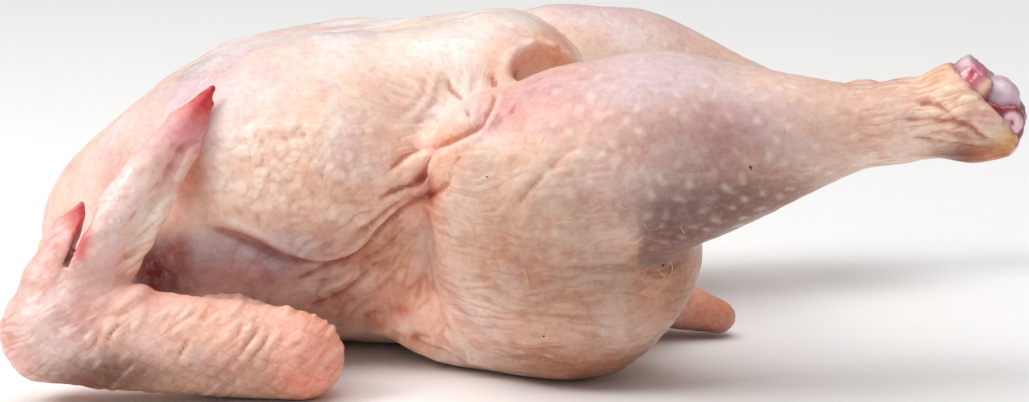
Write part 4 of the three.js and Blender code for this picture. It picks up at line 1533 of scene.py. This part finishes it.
    def flow(self, p: Points, drum: Masks, still: Values) -> tuple[np.ndarray, Values]:
        """Maps the slack skin: distance across its fine folds, distance along them and their height.

        Args:
            p: places on the skin.
            drum: what shin_map gives for them.
            still: 0 where the skin must stay as it is.

        Returns:
            The three numbers for each place of trunk and shins, and the height of the level folds on the thighs.
        """
        shin, along, around = drum
        x, y, z = p.T
        apart = np.min([leg.flesh()(p) for leg in self.bird.legs], axis=0) - self.bird.trunk.flesh()(p)
        reach = np.hypot(x + 12, z - 76)
        across = np.arctan2(76 - z, -12 - x) * 34
        trunk = 0.07 + 0.1 * smooth(reach, 55, 20) * smooth(reach, 8, 20) * smooth(z, 100, 84)
        trunk += 0.26 * smooth(z, 62, 46) * smooth(x, -98, -70)
        trunk *= (0.35 + 0.65 * smooth(np.abs(y), 20, 40)) * smooth(apart, 0.3, 3.0)
        lower = 0.05 + 0.26 * smooth(along, 80, 100) + 0.14 * smooth(z, 80, 66)
        lower *= smooth(shin, 0.2, 0.8) * smooth(apart, -0.5, -3)
        thigh = 0.07 + 0.12 * smooth(z, 70, 46) + 0.1 * smooth(z, 24, 12)
        thigh *= smooth(shin, 0.7, 0.1) * smooth(apart, -0.3, -2.5)
        on_leg = apart < 0
        height = np.where(on_leg, lower, trunk) * still
        return stack(np.where(on_leg, around, across), np.where(on_leg, along + 400, reach), height), thigh * still

    def shin_map(self, p: Points) -> Masks:
        """Lays a map over both drumsticks.

        Args:
            p: places on the skin.

        Returns:
            How much each place belongs to a drumstick, its distance along the shin from the knee and its distance
            round the shin.
        """
        member, along, around = np.zeros(len(p)), np.zeros(len(p)), np.zeros(len(p))
        for leg in self.bird.legs:
            local = leg.local(p) + [0, 0, leg.length()]
            mine = p[:, 1] * leg.side > 0
            gap = leg.thigh()(p) - leg.shin()(p)
            belongs = np.maximum(smooth(gap, -2, 6), smooth(local[:, 2], 45, 60))
            belongs *= smooth(np.abs(leg.shin()(p)), 7, 3) * (local[:, 2] > -30)
            member = np.where(mine, belongs, member)
            along = np.where(mine, local[:, 2], along)
            turn = np.arctan2(-local[:, 0] * leg.side, local[:, 1])
            thick = curve_through(leg.profile)(np.clip(local[:, 2] / leg.length(), 0, 1))
            around = np.where(mine, turn * (8 + 0.62 * thick), around)
        return member, along, around

    def cut_face(self, p: Points) -> Values:
        """How much each place lies on a cut hock."""
        out = np.zeros(len(p))
        for leg in self.bird.legs:
            out = np.maximum(out, smooth(leg.foot_cut()(p), 1.2, 0.3) * (p[:, 1] * leg.side > 0) * (p[:, 0] > 90))
        return out

    def wrinkles(self, p: Points, thigh: Values, drum: Masks, still: Values) -> Values:
        """The uneven relief of the skin, in millimetres outward.

        Args:
            p: places, with the left side moved away so that it differs from the right.
            thigh: how much each place lies on a thigh.
            drum: what shin_map gives for them.
            still: 0 where the skin must stay as it is.

        Returns:
            The relief.
        """
        shin, along, around = drum
        broad, medium, fine, other = Noise(11), Noise(12), Noise(13), Noise(14)
        x, y, z = p.T
        at = stack(x, np.minimum(y, y - OTHER_SIDE * (y > OTHER_SIDE / 2)), z)
        flat = x * 0
        total = 0.7 * broad(p / 26) + 0.4 * medium(p / 11) * (1 - 0.5 * shin) + 0.12 * fine(p / 4.6)
        side = most(at, self.bumpy)
        total += side * (0.6 * medium.pleated(stack(x / 5.2 + z / 14, y / 8, z / 6.4)) + 0.4 * fine(p / 3.4))
        total += thigh * smooth(z, 70, 52) * 0.24 * medium(stack(x / 26, y / 30, (z + 0.12 * x) / 3.4))
        scaly = smooth(z, 26, 10) * (x > -40) * (x < 60)
        total += scaly * 0.4 * other.pleated(stack(x / 11 + z / 9, y / 9, z / 4))
        upright = most(at, (Patch((48, 62, 26), (14, 30, 22)),))
        total += upright * 0.25 * other.pleated(stack(x / 5, y / 5, z / 22))
        flank = smooth(x, -8, -24) * smooth(x, -100, -80) * smooth(z, 50, 40)
        total += flank * 0.35 * fine.pleated(stack((x - z) / 40, y / 40, (z + 0.8 * x) / 7))
        neck = smooth(x, -112, -128) * smooth(z, 44, 30)
        total += neck * 0.8 * medium.pleated(stack(x / 9, y / 16, z / 5))
        ankle = smooth(along, 84, 98) * smooth(along, 132, 124)
        total += ankle * 0.4 * other.pleated(stack(along / 14 + around / 20, around / 6, flat))
        rows = np.sin(along / 5.8 * math.pi + 0.4 * medium(p / 14)) * np.sin(around / 5.8 * math.pi)
        total += shin * smooth(along, -8, 12) * smooth(along, 100, 84) * 0.1 * np.abs(rows)
        keel = smooth(np.minimum(y, np.abs(y - OTHER_SIDE)), 9, 2) * smooth(z, 88, 96) * (x < 6)
        total += keel * 0.3 * medium(stack(x / 14, y / 3, z / 14))
        return total * still

    @staticmethod
    def ribs(p: Points) -> Values:
        """The ribs that stand out inside the cavity."""
        ribs = np.sin((p[:, 0] + 0.35 * p[:, 2]) / 11 * 2 * math.pi)
        return (ribs * smooth(np.abs(p[:, 1]), 9, 20) + Noise(15)(p / 6) * 0.6) * smooth(p[:, 0], 34, 20) * 0.9

    def calf(self, p: Points, colour: np.ndarray) -> np.ndarray:
        """Lays the dark calf over the colours: it ends sharply where it folds over the thigh."""
        x, y, z = p.T
        edge = np.interp(z, (37, 42, 47, 53, 58, 64, 72), (37, 35, 35, 33, 31, 28, 22)) + 1.2 * Noise(23)(p / 5)
        under = np.interp(x, (36, 41, 46, 51, 60), (37.5, 37, 38, 41, 46))
        soft = np.interp(z, (44, 62), (0.8, 9))
        share = smooth(x, edge - soft, edge + soft) * smooth(z, under - 0.5, under + 0.8)
        colour = toward(colour, self.calf_purple, share * Patch((46, 88, 50), (27, 40, 17), 0.95).weight(p))
        for sx, sz in self.brown_spots:
            near = np.exp(-(((x - sx) / 1.5) ** 2 + ((z - sz) / 1.1) ** 2)) * (np.abs(y) > 60)
            colour = toward(colour, self.spot_brown, 0.4 * near)
        return colour

    def colours(self, p: Points, inside: Values, cut: Values) -> np.ndarray:
        """Lays all the tints, then the cavity's lining and the cut meat over them."""
        colour = self.calf(p, painted(p, self.base, self.tints))
        lining = toward(self.cavity_red, self.cavity_pale, smooth(Noise(21)(p / 9), -0.3, 0.5))
        flesh = toward(self.meat, self.fat, smooth(Noise(22)(p / 3), -0.5, 0.1))
        return toward(toward(colour, lining, inside), flesh, cut)


@dataclass
class WingSkin:
    """One folded wing with its scaly forearm, slick hand and red tips."""

    wing: Wing
    name: str
    cell: float = 0.8
    base: Colour = srgb(236, 196, 182)
    tints: tuple[Tint, ...] = rows_of(tint, (
        ((252, 212, 198), (-88, 88, 22), (40, 14, 7), 0.85),
        # painted shade: the underside of the forearm and wrist is darker and browner
        ((190, 152, 128), (-90, 86, 6), (44, 20, 8), 0.9),
        ((112, 64, 38), (-117, 90, 10), (17, 14, 8), 0.95),
        ((226, 124, 124), (-62, 88, 8), (8, 14, 3.4), 0.55),
        ((246, 164, 138), (-56, 84, 12), (9, 16, 13), 0.7),
        ((250, 228, 226), (-128, 88, 26), (12, 16, 14), 0.8),
        ((244, 198, 196), (-142, 84, 18), (7, 20, 18), 0.5),
        ((255, 222, 220), (-113, 74, 52), (9, 14, 22), 0.85),
        # painted light: the flap of the hand is made nearly white, paler than the skin, standing in for light on a side
        # turned from the lamps
        ((255, 238, 224), (-104, 72, 48), (7, 12, 17), 0.95),
        ((246, 196, 190), (-98, 62, 66), (7, 12, 9), 0.8),
        ((238, 142, 164), (-94.5, 57, 75), (7, 12, 7), 0.8),
        ((222, 44, 62), (-91.5, 52, 82), (6.5, 10, 6), 0.9),
        ((206, 14, 30), (-89.2, 50, 85.8), (4.4, 9, 4.6), 0.95),
        ((120, 10, 18), (-87.6, 49, 88.5), (2, 5, 2.2), 0.8),
        ((250, 190, 192), (-129, 78, 44), (7, 12, 10), 0.8),
        ((216, 84, 88), (-124.5, 75, 54), (4, 8, 5), 0.8),
        ((214, 56, 58), (-122.6, 80, 48.5), (3, 14, 9), 0.95),
        ((216, 120, 104), (-104, 78, 30), (5, 12, 4), 0.6),
    ))
    # these patches also set where the finish paints white glints as highlights
    wet: tuple[Patch, ...] = rows_of(Patch, (  # where the hand is slick
        ((-113, 76, 56), (7, 12, 20)),
        ((-122, 84, 38), (8, 12, 10), 0.9),
        ((-94, 56, 77), (5, 12, 7), 0.4),
        ((-138, 86, 24), (8, 10, 12), 0.4),
    ))
    bloody: tuple[Patch, ...] = (Patch((-92, 54, 80), (10, 12, 12)), Patch((-124, 75, 52), (6, 8, 9)))

    def build(self, effects: Effects) -> Object:
        """Skins, wrinkles and dresses the wing.

        Args:
            effects: the shared node groups.

        Returns:
            The finished object.
        """
        wing = self.wing
        ends = [(-152, 20 * wing.side, -3.3), (-42, 100 * wing.side, 93)]
        low, high = np.min(ends, axis=0), np.max(ends, axis=0)
        skin = skinned(carve(1.2, wing.flesh(), half_space((0, 0, REST_HEIGHT), (0, 0, 1))), low, high, self.cell)
        even(skin, 0.3)
        rest = skin.points.copy()
        p = rest * [1, wing.side, 1]
        sideways = smooth(skin.normals[:, 1] * wing.side, 0.0, 0.4)
        relief = self.wrinkles(p) * smooth(rest[:, 2], 0.2, 2.5)
        for fold in (Fold(wing.groove, 1.1, 1.5), Fold(wing.rolled, -0.8, 1.5)):
            relief += fold.relief(skin, sideways)
        skin.push(relief)
        skin.points[:, 2] = np.maximum(skin.points[:, 2], REST_HEIGHT)
        skin.refresh_normals()
        zero = np.zeros(len(rest))
        hollow = blurred(skin, relief, 6) - relief
        wet = np.clip(most(rest, self.wet), 0, 1)
        blood = np.clip(most(rest, self.bloody), 0, 1)
        piece = make_piece(
            self.name,
            skin,
            painted(rest, self.base, self.tints),
            relief=stack(zero, zero, 0.12 + 0.15 * (1 - wet)),
            # third number: painted shade for hollows and painted light for ridges
            state=stack(wet, blood, 0.8 * smooth(hollow, 0.03, 0.45) - 0.7 * smooth(-hollow, 0.04, 0.35)),
            shin_map=stack(zero, zero, zero),
            flow=self.flow(p, wet),
            lattice=stack(*self.lattice(p)),
        )
        finish = SkinFinish(self.name + "_finish", grain_size=1.3, lattice=True).make(effects)
        return handed_over(piece, finish)

    def wrinkles(self, p: Points) -> Values:
        """Relief of the wing's skin.

        Args:
            p: places, as if on the left side.

        Returns:
            Millimetres outward.
        """
        coarse, fine, other = Noise(31), Noise(32), Noise(33)
        x, y, z = p.T
        forearm, wrist, on_flap = self.parts(p)
        upper = smooth(z, 10, 17)
        slanting = stack((x * 0.74 - z * 0.67) / 3.6, (x * 0.67 + z * 0.74) / 9, x * 0 + 4)
        total = forearm * (0.25 + 0.55 * upper) * fine.pleated(slanting)
        lapped = self.swell((x * 0.71 - z * 0.71) / 3.9 + 0.6 * coarse(p / 13))
        total += forearm * 0.13 * lapped * smooth(fine(p / 7), -0.5, 0.3)
        across, down = z * 0.87 - x * 0.5, x * 0.87 + z * 0.5
        total += on_flap * 0.7 * other.pleated(stack(across / 4.2, down / 12, x * 0))
        slick = 0.3 * other(p / 4) + 0.3 * fine.pleated(stack(across / 5, down / 16, x * 0))
        total += smooth(z, 30, 40) * (1 - on_flap) * slick
        total += wrist * 0.4 * other.pleated(p / [8, 8, 6.5])
        lump = Patch((-107, 80, 32), (3.6, 9, 2.2)).weight(stack(x, np.abs(y), z))
        return total + 0.35 * coarse(p / 12) + 1.6 * lump

    def parts(self, p: Points) -> Masks:
        """How much each place, as if on the left side, belongs to the forearm, the wrist and the flap of the hand."""
        z = p[:, 2]
        elbow, wrist = np.array(self.wing.elbow), np.array(self.wing.wrist)
        share = (p - elbow) @ (wrist - elbow) / ((wrist - elbow) @ (wrist - elbow))
        forearm = smooth(share, -0.36, -0.12) * smooth(share, 1.0, 0.8) * smooth(z, 34, 27)
        flap = np.abs(chain(self.wing.flap, self.wing.flap_radii)(p))
        bone = np.abs(chain(self.wing.bone, self.wing.bone_radii)(p))
        at_wrist = smooth(share, 0.75, 0.95) * smooth(z, 44, 34)
        return forearm, at_wrist, smooth(bone - flap, -1.0, 1.5) * smooth(z, 30, 38)

    def flow(self, p: Points, wet: Values) -> np.ndarray:
        """Maps the fine folds that slant up and back across the hand: across them, along them and their height."""
        x, _, z = p.T
        forearm, wrist, on_flap = self.parts(p)
        height = 0.06 + 0.36 * on_flap + 0.2 * wrist + 0.08 * forearm + 0.22 * smooth(z, 30, 38) * smooth(x, -118, -124)
        return stack(z * 0.87 - x * 0.5, x * 0.87 + z * 0.5, height * (1 - 0.4 * wet))

    def lattice(self, p: Points) -> Masks:
        """Two crossing phases for the fine cracks, and how plain these are."""
        x, _, z = p.T
        forearm, wrist, _ = self.parts(p)
        amount = forearm * (0.45 + 0.55 * smooth(z, 17, 12)) + 0.5 * wrist * smooth(z, 26, 20)
        return (x * 0.71 - z * 0.71) / 3.9, (x * 0.4 + z * 0.92) / 3.7, np.clip(amount, 0, 1)

    @staticmethod
    def swell(phase: Values) -> Values:
        """A swell that rises slowly and drops off faster in each unit, like lapped skin."""
        angle = phase * 2 * math.pi
        return np.sin(angle) + 0.3 * np.sin(2 * angle)


@dataclass
class Hock:
    """Bone, gristle and torn tissue at the cut end of one leg."""

    leg: Leg
    node: str
    reach: float = 1.0  # how far the tissue reaches up the cut
    cell: float = 0.55
    gristle: Colour = srgb(226, 206, 224)
    blush: Colour = srgb(226, 160, 176)
    blood: Colour = srgb(140, 34, 42)
    loop_colour: Colour = srgb(232, 190, 204)
    outline: Curve = (  # up the cut, and out from it
        *((18.4, -1.2), (18.1, 2.4), (17.0, 4.3), (14.9, 4.6), (11.7, 4.8), (7.6, 4.7), (6.7, 2.8)),
        *((5.1, 0.7), (1.8, 2.0), (-0.8, 4.7), (-2.7, 5.0), (-4.9, 4.1), (-6.8, 2.7), (-8.5, -0.4)),
        *((-9.4, -3.3), (0, -12)),
    )
    tints: tuple[Tint, ...] = rows_of(tint, (  # x up the cut, z out from it
        ((220, 146, 168), (13.1, 0, 1.7), (4.8, 20, 5)),
        ((180, 50, 84), (12.6, 0, 2.2), (2.9, 20, 2.4), 0.95),
        ((240, 226, 240), (17.6, 0, 3.4), (2.4, 20, 3.4), 0.9),
        ((242, 214, 190), (8.6, 0, 2.2), (1.7, 20, 4), 0.95),
        # painted shade: two small dark spots stand for holes in the tissue
        ((120, 60, 52), (7.3, 0, 4.6), (0.8, 20, 0.8), 0.9),
        ((110, 50, 46), (9.5, 0, -0.3), (0.9, 20, 0.8), 0.9),
    ))

    def build(self, finish: Material) -> list[Object]:
        """Builds the bone and the tissue beside it.

        Args:
            finish: the material for both.

        Returns:
            The two objects.
        """
        bone = self.dressed(f"{self.node}_end", self.leg.bone(), self.bone_tints)
        tissue = self.dressed(f"{self.node}_tissue", self.tissue(), self.tissue_tints)
        return [handed_over(bone, finish, self.node), handed_over(tissue, finish)]

    def dressed(self, name: str, shape: Field, tints: Callable[[Points], np.ndarray]) -> Object:
        """Skins one field near the hock and tints it."""
        a, b = self.leg.place(0, 0, self.leg.bone_start), self.leg.place(0, 0, self.leg.length() + 12)
        low, high = np.minimum(a, b) - 19, np.maximum(a, b) + 19
        skin = skinned(shape, low, high, self.cell)
        lumps = Noise(41)(skin.points / 2.2) * 0.2 + Noise(42)(skin.points / 6) * 0.3
        skin.push(lumps)
        skin.refresh_normals()
        return make_piece(name, skin, tints(skin.points))

    def on_cut(self, p: Points) -> Points:
        """Turns places into distances up the cut, level and out from it."""
        level, up, along = self.leg.local(p).T
        lean = math.radians(self.leg.cut_lean)
        beyond = along - self.leg.cut_beyond
        climb = up * math.cos(lean) - beyond * math.sin(lean)
        out = up * math.sin(lean) + beyond * math.cos(lean)
        return stack(np.where(climb > 0, climb / self.reach, climb), level, out)

    def loop(self) -> Field:
        """The open loop of gristle at the side of the cut."""
        leg = self.leg
        angles = np.linspace(-0.6, 4.6, 12)
        at = lambda a: leg.place(10.4 * leg.side, -2.4 + 2.0 * math.cos(a), leg.length() + 8.9 + 1.7 * math.sin(a))
        return join(0.3, *(limb(at(a), at(b), taper(0.95, 0.95)) for a, b in zip(angles, angles[1:])))

    def tissue(self) -> Field:
        """Flesh, fat and dark tissue in one block with a torn outline, clear of the bone, and the loop on its side."""
        flat, barrel = outlined(self.outline), ellipsoid((0.5, 0, 0), (18.5, 11.0, 60))

        def block(p: Points) -> Values:
            """Measures from the torn outline."""
            q = self.on_cut(p)
            return flat(q[:, 0] + 0.5 * Noise(45)(p / 3), q[:, 2] + 0.5 * Noise(46)(p / 3))

        core = carve(2.0, block, lambda p: -barrel(self.on_cut(p)))
        return join(0.5, carve(0.8, core, self.leg.bone(0.25)), self.loop())

    def bone_tints(self, p: Points) -> np.ndarray:
        """Lilac white gristle on top of the condyles, dark blood on their lower half."""
        local = self.leg.local(p)
        low = smooth(local[:, 1] - 0.25 * (local[:, 2] - 8) + 0.8 * Noise(43)(p / 3), 2.0, 0.0)
        return toward(toward(self.gristle, self.blood, low), self.blush, smooth(local[:, 2], 3, -1))

    def tissue_tints(self, p: Points) -> np.ndarray:
        """Dark flesh, pink above with a strip of fat and a frosted rim, and the pale loop."""
        q = self.on_cut(p) + 0.5 * Noise(44)(p / 2.5)[:, None]
        at_loop = np.exp(-np.clip(self.loop()(p), 0, 8) / 0.25)
        return toward(painted(q, self.blood, self.tints), self.loop_colour, at_loop)


@dataclass
class Strewn:
    """Small things that sit on the skin here and there, made by a tree of geometry nodes."""

    name: str
    spots: tuple[Patch, ...]
    density: float  # pieces for each square centimetre where a patch is full
    length: float
    thickness: float
    lean: float  # how far it leans from straight up, in radians
    seed: int
    finish: PlainFinish
    sides: int = 5

    def build(self, host: Object, effects: Effects) -> Object:
        """Strews the pieces over a host and turns them into a plain mesh.

        Args:
            host: the skin that they stand on.
            effects: the shared node groups.

        Returns:
            The finished object.
        """
        tree = self.tree(self.finish.make(effects))
        points = np.empty(len(host.data.vertices) * 3, np.float32)
        host.data.vertices.foreach_get("co", points)
        weight = most(points.reshape(-1, 3) / MM, self.spots)
        layer = host.data.attributes.new(self.name, "FLOAT", "POINT")
        layer.data.foreach_set("value", weight.astype(np.float32))
        carrier = linked(self.name + "_carrier", host.data)
        modifier = carrier.modifiers.new("strew", "NODES")
        modifier.node_group = tree
        sizes = {"Density": self.density * 1e4, "Length": self.length * MM, "Thickness": self.thickness * MM}
        values = sizes | {"Lean": self.lean, "Seed": self.seed}
        for socket in tree.interface.items_tree:
            if socket.in_out == "INPUT" and socket.name in values:
                modifier[socket.identifier] = values[socket.name]
        bpy.context.view_layer.update()
        mesh = bpy.data.meshes.new_from_object(carrier.evaluated_get(bpy.context.evaluated_depsgraph_get()))
        bpy.data.objects.remove(carrier)
        host.data.attributes.remove(host.data.attributes[self.name])
        mesh.name = self.name
        return handed_over(linked(self.name, mesh))

    def tree(self, material: Material) -> NodeTree:
        """Builds the tree: scatter points, put a bent hair on each and realize them.

        Args:
            material: the finish of the hairs.

        Returns:
            The node tree.
        """
        tree = bpy.data.node_groups.new(self.name, "GeometryNodeTree")
        sockets = (("Geometry", "Geometry"), ("Density", "Float"), ("Length", "Float"), ("Thickness", "Float"))
        for key, kind in (*sockets, ("Lean", "Float"), ("Seed", "Int")):
            tree.interface.new_socket(name=key, in_out="INPUT", socket_type="NodeSocket" + kind)
        tree.interface.new_socket(name="Geometry", in_out="OUTPUT", socket_type="NodeSocketGeometry")
        t = Tree(tree)
        get, out = tree.nodes.new("NodeGroupInput").outputs, tree.nodes.new("NodeGroupOutput")
        length, seed = get["Length"], get["Seed"]
        vector = lambda **parts: t.add("ShaderNodeCombineXYZ", None, **parts).outputs[0]
        mask = t.add("GeometryNodeInputNamedAttribute", {"data_type": "FLOAT"}, Name=self.name).outputs["Attribute"]
        where = {"Mesh": get["Geometry"], "Density": t.product(mask, get["Density"]), "Seed": seed}
        scatter = t.add("GeometryNodeDistributePointsOnFaces", {"distribute_method": "RANDOM"}, **where).outputs
        half = t.product(length, 0.5)
        bend = {"Start": vector(Z=t.product(length, -0.06)), "Middle": vector(Z=half)}
        bend["End"] = vector(X=half, Z=t.product(length, 0.8))
        arc = t.add("GeometryNodeCurveQuadraticBezier", None, Resolution=5, **bend).outputs[0]
        size = {"Resolution": self.sides, "Radius": get["Thickness"]}
        ring = t.add("GeometryNodeCurvePrimitiveCircle", {"mode": "RADIUS"}, **size).outputs[0]
        hair = t.add("GeometryNodeCurveToMesh", None, Curve=arc, Profile_Curve=ring, Fill_Caps=True).outputs[0]
        span = {"Min": (0.0, 0.0, -3.1), "Max": vector(X=get["Lean"], Y=get["Lean"], Z=3.1)}
        turn = t.add("FunctionNodeRandomValue", {"data_type": "FLOAT_VECTOR"}, Seed=seed, **span).outputs[0]
        scale = t.add("FunctionNodeRandomValue", {"data_type": "FLOAT"}, Seed=seed, at2=0.5, at3=1.2).outputs[1]
        how = {"rotation_type": "EULER", "space": "LOCAL"}
        spin = t.add("FunctionNodeRotateEuler", how, Rotation=scatter["Rotation"], Rotate_By=turn).outputs[0]
        look = {"Points": scatter["Points"], "Instance": hair, "Rotation": spin, "Scale": scale}
        placed = t.add("GeometryNodeInstanceOnPoints", None, **look).outputs[0]
        real = t.add("GeometryNodeRealizeInstances", None, Geometry=placed).outputs[0]
        done = t.add("GeometryNodeSetMaterial", None, Geometry=real, Material=material)
        tree.links.new(done.outputs[0], out.inputs[0])
        return tree


# ---- stage, light and camera


class Softbox(Enum):
    """The studio's soft lights: kind, place and aim in metres, width in metres or degrees, power and colour."""

    KEY = ("AREA", (-0.95, -0.4, 0.95), (0.0, 0.0, 0.05), 0.55, 9.6, (1.0, 0.99, 0.97))
    SKY = ("SUN", (-0.1, -0.05, 1.3), (0.0, 0.0, 0.05), 60.0, 1.65, (1.0, 1.0, 1.0))

    def build(self) -> None:
        """Hangs the light."""
        kind, place, aim, width, power, colour = self.value
        data = bpy.data.lights.new(self.name.lower(), kind)
        data.energy, data.color = power, colour
        if kind == "SUN":
            data.angle = math.radians(width)
        else:
            data.shape, data.size = "SQUARE", width
        light = linked(self.name.lower(), data)
        light.location = place
        light.rotation_euler = (Vector(aim) - Vector(place)).to_track_quat("-Z", "Y").to_euler()


@dataclass
class Studio:
    """A pale floor, soft light from all round and the camera."""

    camera_at: Point = (0.0, -0.7386, 0.1741)
    camera_tilt: float = 80.0
    lens: float = 82.64
    floor_size: float = 9.0
    daylight: float = 0.3
    paper: PlainFinish = PlainFinish("pale_paper", srgb(251, 251, 250), srgb(249, 248, 248), 60.0, 0.7)

    def build(self, effects: Effects) -> None:
        """Sets the stage."""
        half = self.floor_size / 2
        mesh = bpy.data.meshes.new("floor")
        mesh.from_pydata([(-half, -half, 0), (half, -half, 0), (half, half, 0), (-half, half, 0)], [], [(0, 1, 2, 3)])
        mesh.materials.append(self.paper.make(effects))
        linked("floor", mesh)
        for box in Softbox:
            box.build()
        world = bpy.data.worlds.new("studio")
        world.use_nodes = True
        set_shader(world.node_tree.nodes["Background"], Color=(1.0, 1.0, 1.0, 1.0), Strength=self.daylight)
        scene = bpy.context.scene
        scene.world = world
        data = bpy.data.cameras.new("camera")
        data.lens, data.sensor_width = self.lens, 36.0
        camera = linked("camera", data)
        camera.location = self.camera_at
        camera.rotation_euler = (math.radians(self.camera_tilt), 0.0, 0.0)
        scene.camera = camera
        scene.view_settings.view_transform = "Standard"


def main() -> None:
    """Builds the bird and the stage."""
    logging.basicConfig(level=logging.INFO, format="%(name)s %(message)s")
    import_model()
    effects, bird = Effects(), Bird()
    Studio().build(effects)
    body = BodySkin(bird).build(effects)
    for wing, name in zip(bird.wings, ("right_wing_skin", "left_wing_skin")):
        WingSkin(wing, name).build(effects)
    gristle = BoneFinish().make(effects)
    for leg, node in zip(bird.legs, ("right_leg_bone", "left_leg_bone")):
        Hock(leg, node, reach=1.0 if leg.side == RIGHT else 0.72).build(gristle)
    hairs = PlainFinish("pale_hair", srgb(248, 226, 184), srgb(224, 184, 132), 3.0, 0.4)
    specks = PlainFinish("dark_speck", srgb(52, 36, 30), srgb(96, 54, 38), 1.0, 0.5)
    strays = ((18, 90, 54), (22, 87, 48), (32, 92, 62), (33, 91, 56), (34, 90, 50), (44, 73, 36), (36, 80, 38))
    single = tuple(Patch(at, (2.2, 4, 2.2)) for at in (*strays, (27, 83, 36), (22, 79, 16)))
    fuzz = (((36, 78, 46), (12, 24, 20), 0.12), ((46, 66, 30), (14, 26, 20), 0.08), ((6, 80, 40), (26, 24, 24), 0.03))
    Strewn("skin_hairs", single + rows_of(Patch, fuzz), 10.0, 4.4, 0.08, 1.3, 3, hairs).build(body, effects)
    dots = tuple(Patch(at, (0.9, 4, 0.9)) for at in ((42, 77, 40), (9, 80, 18), (-7, 82, 65), (65, 96, 71)))
    Strewn("skin_specks", dots, 30.0, 0.7, 0.28, 0.4, 5, specks).build(body, effects)


if __name__ == "__main__":
    main()
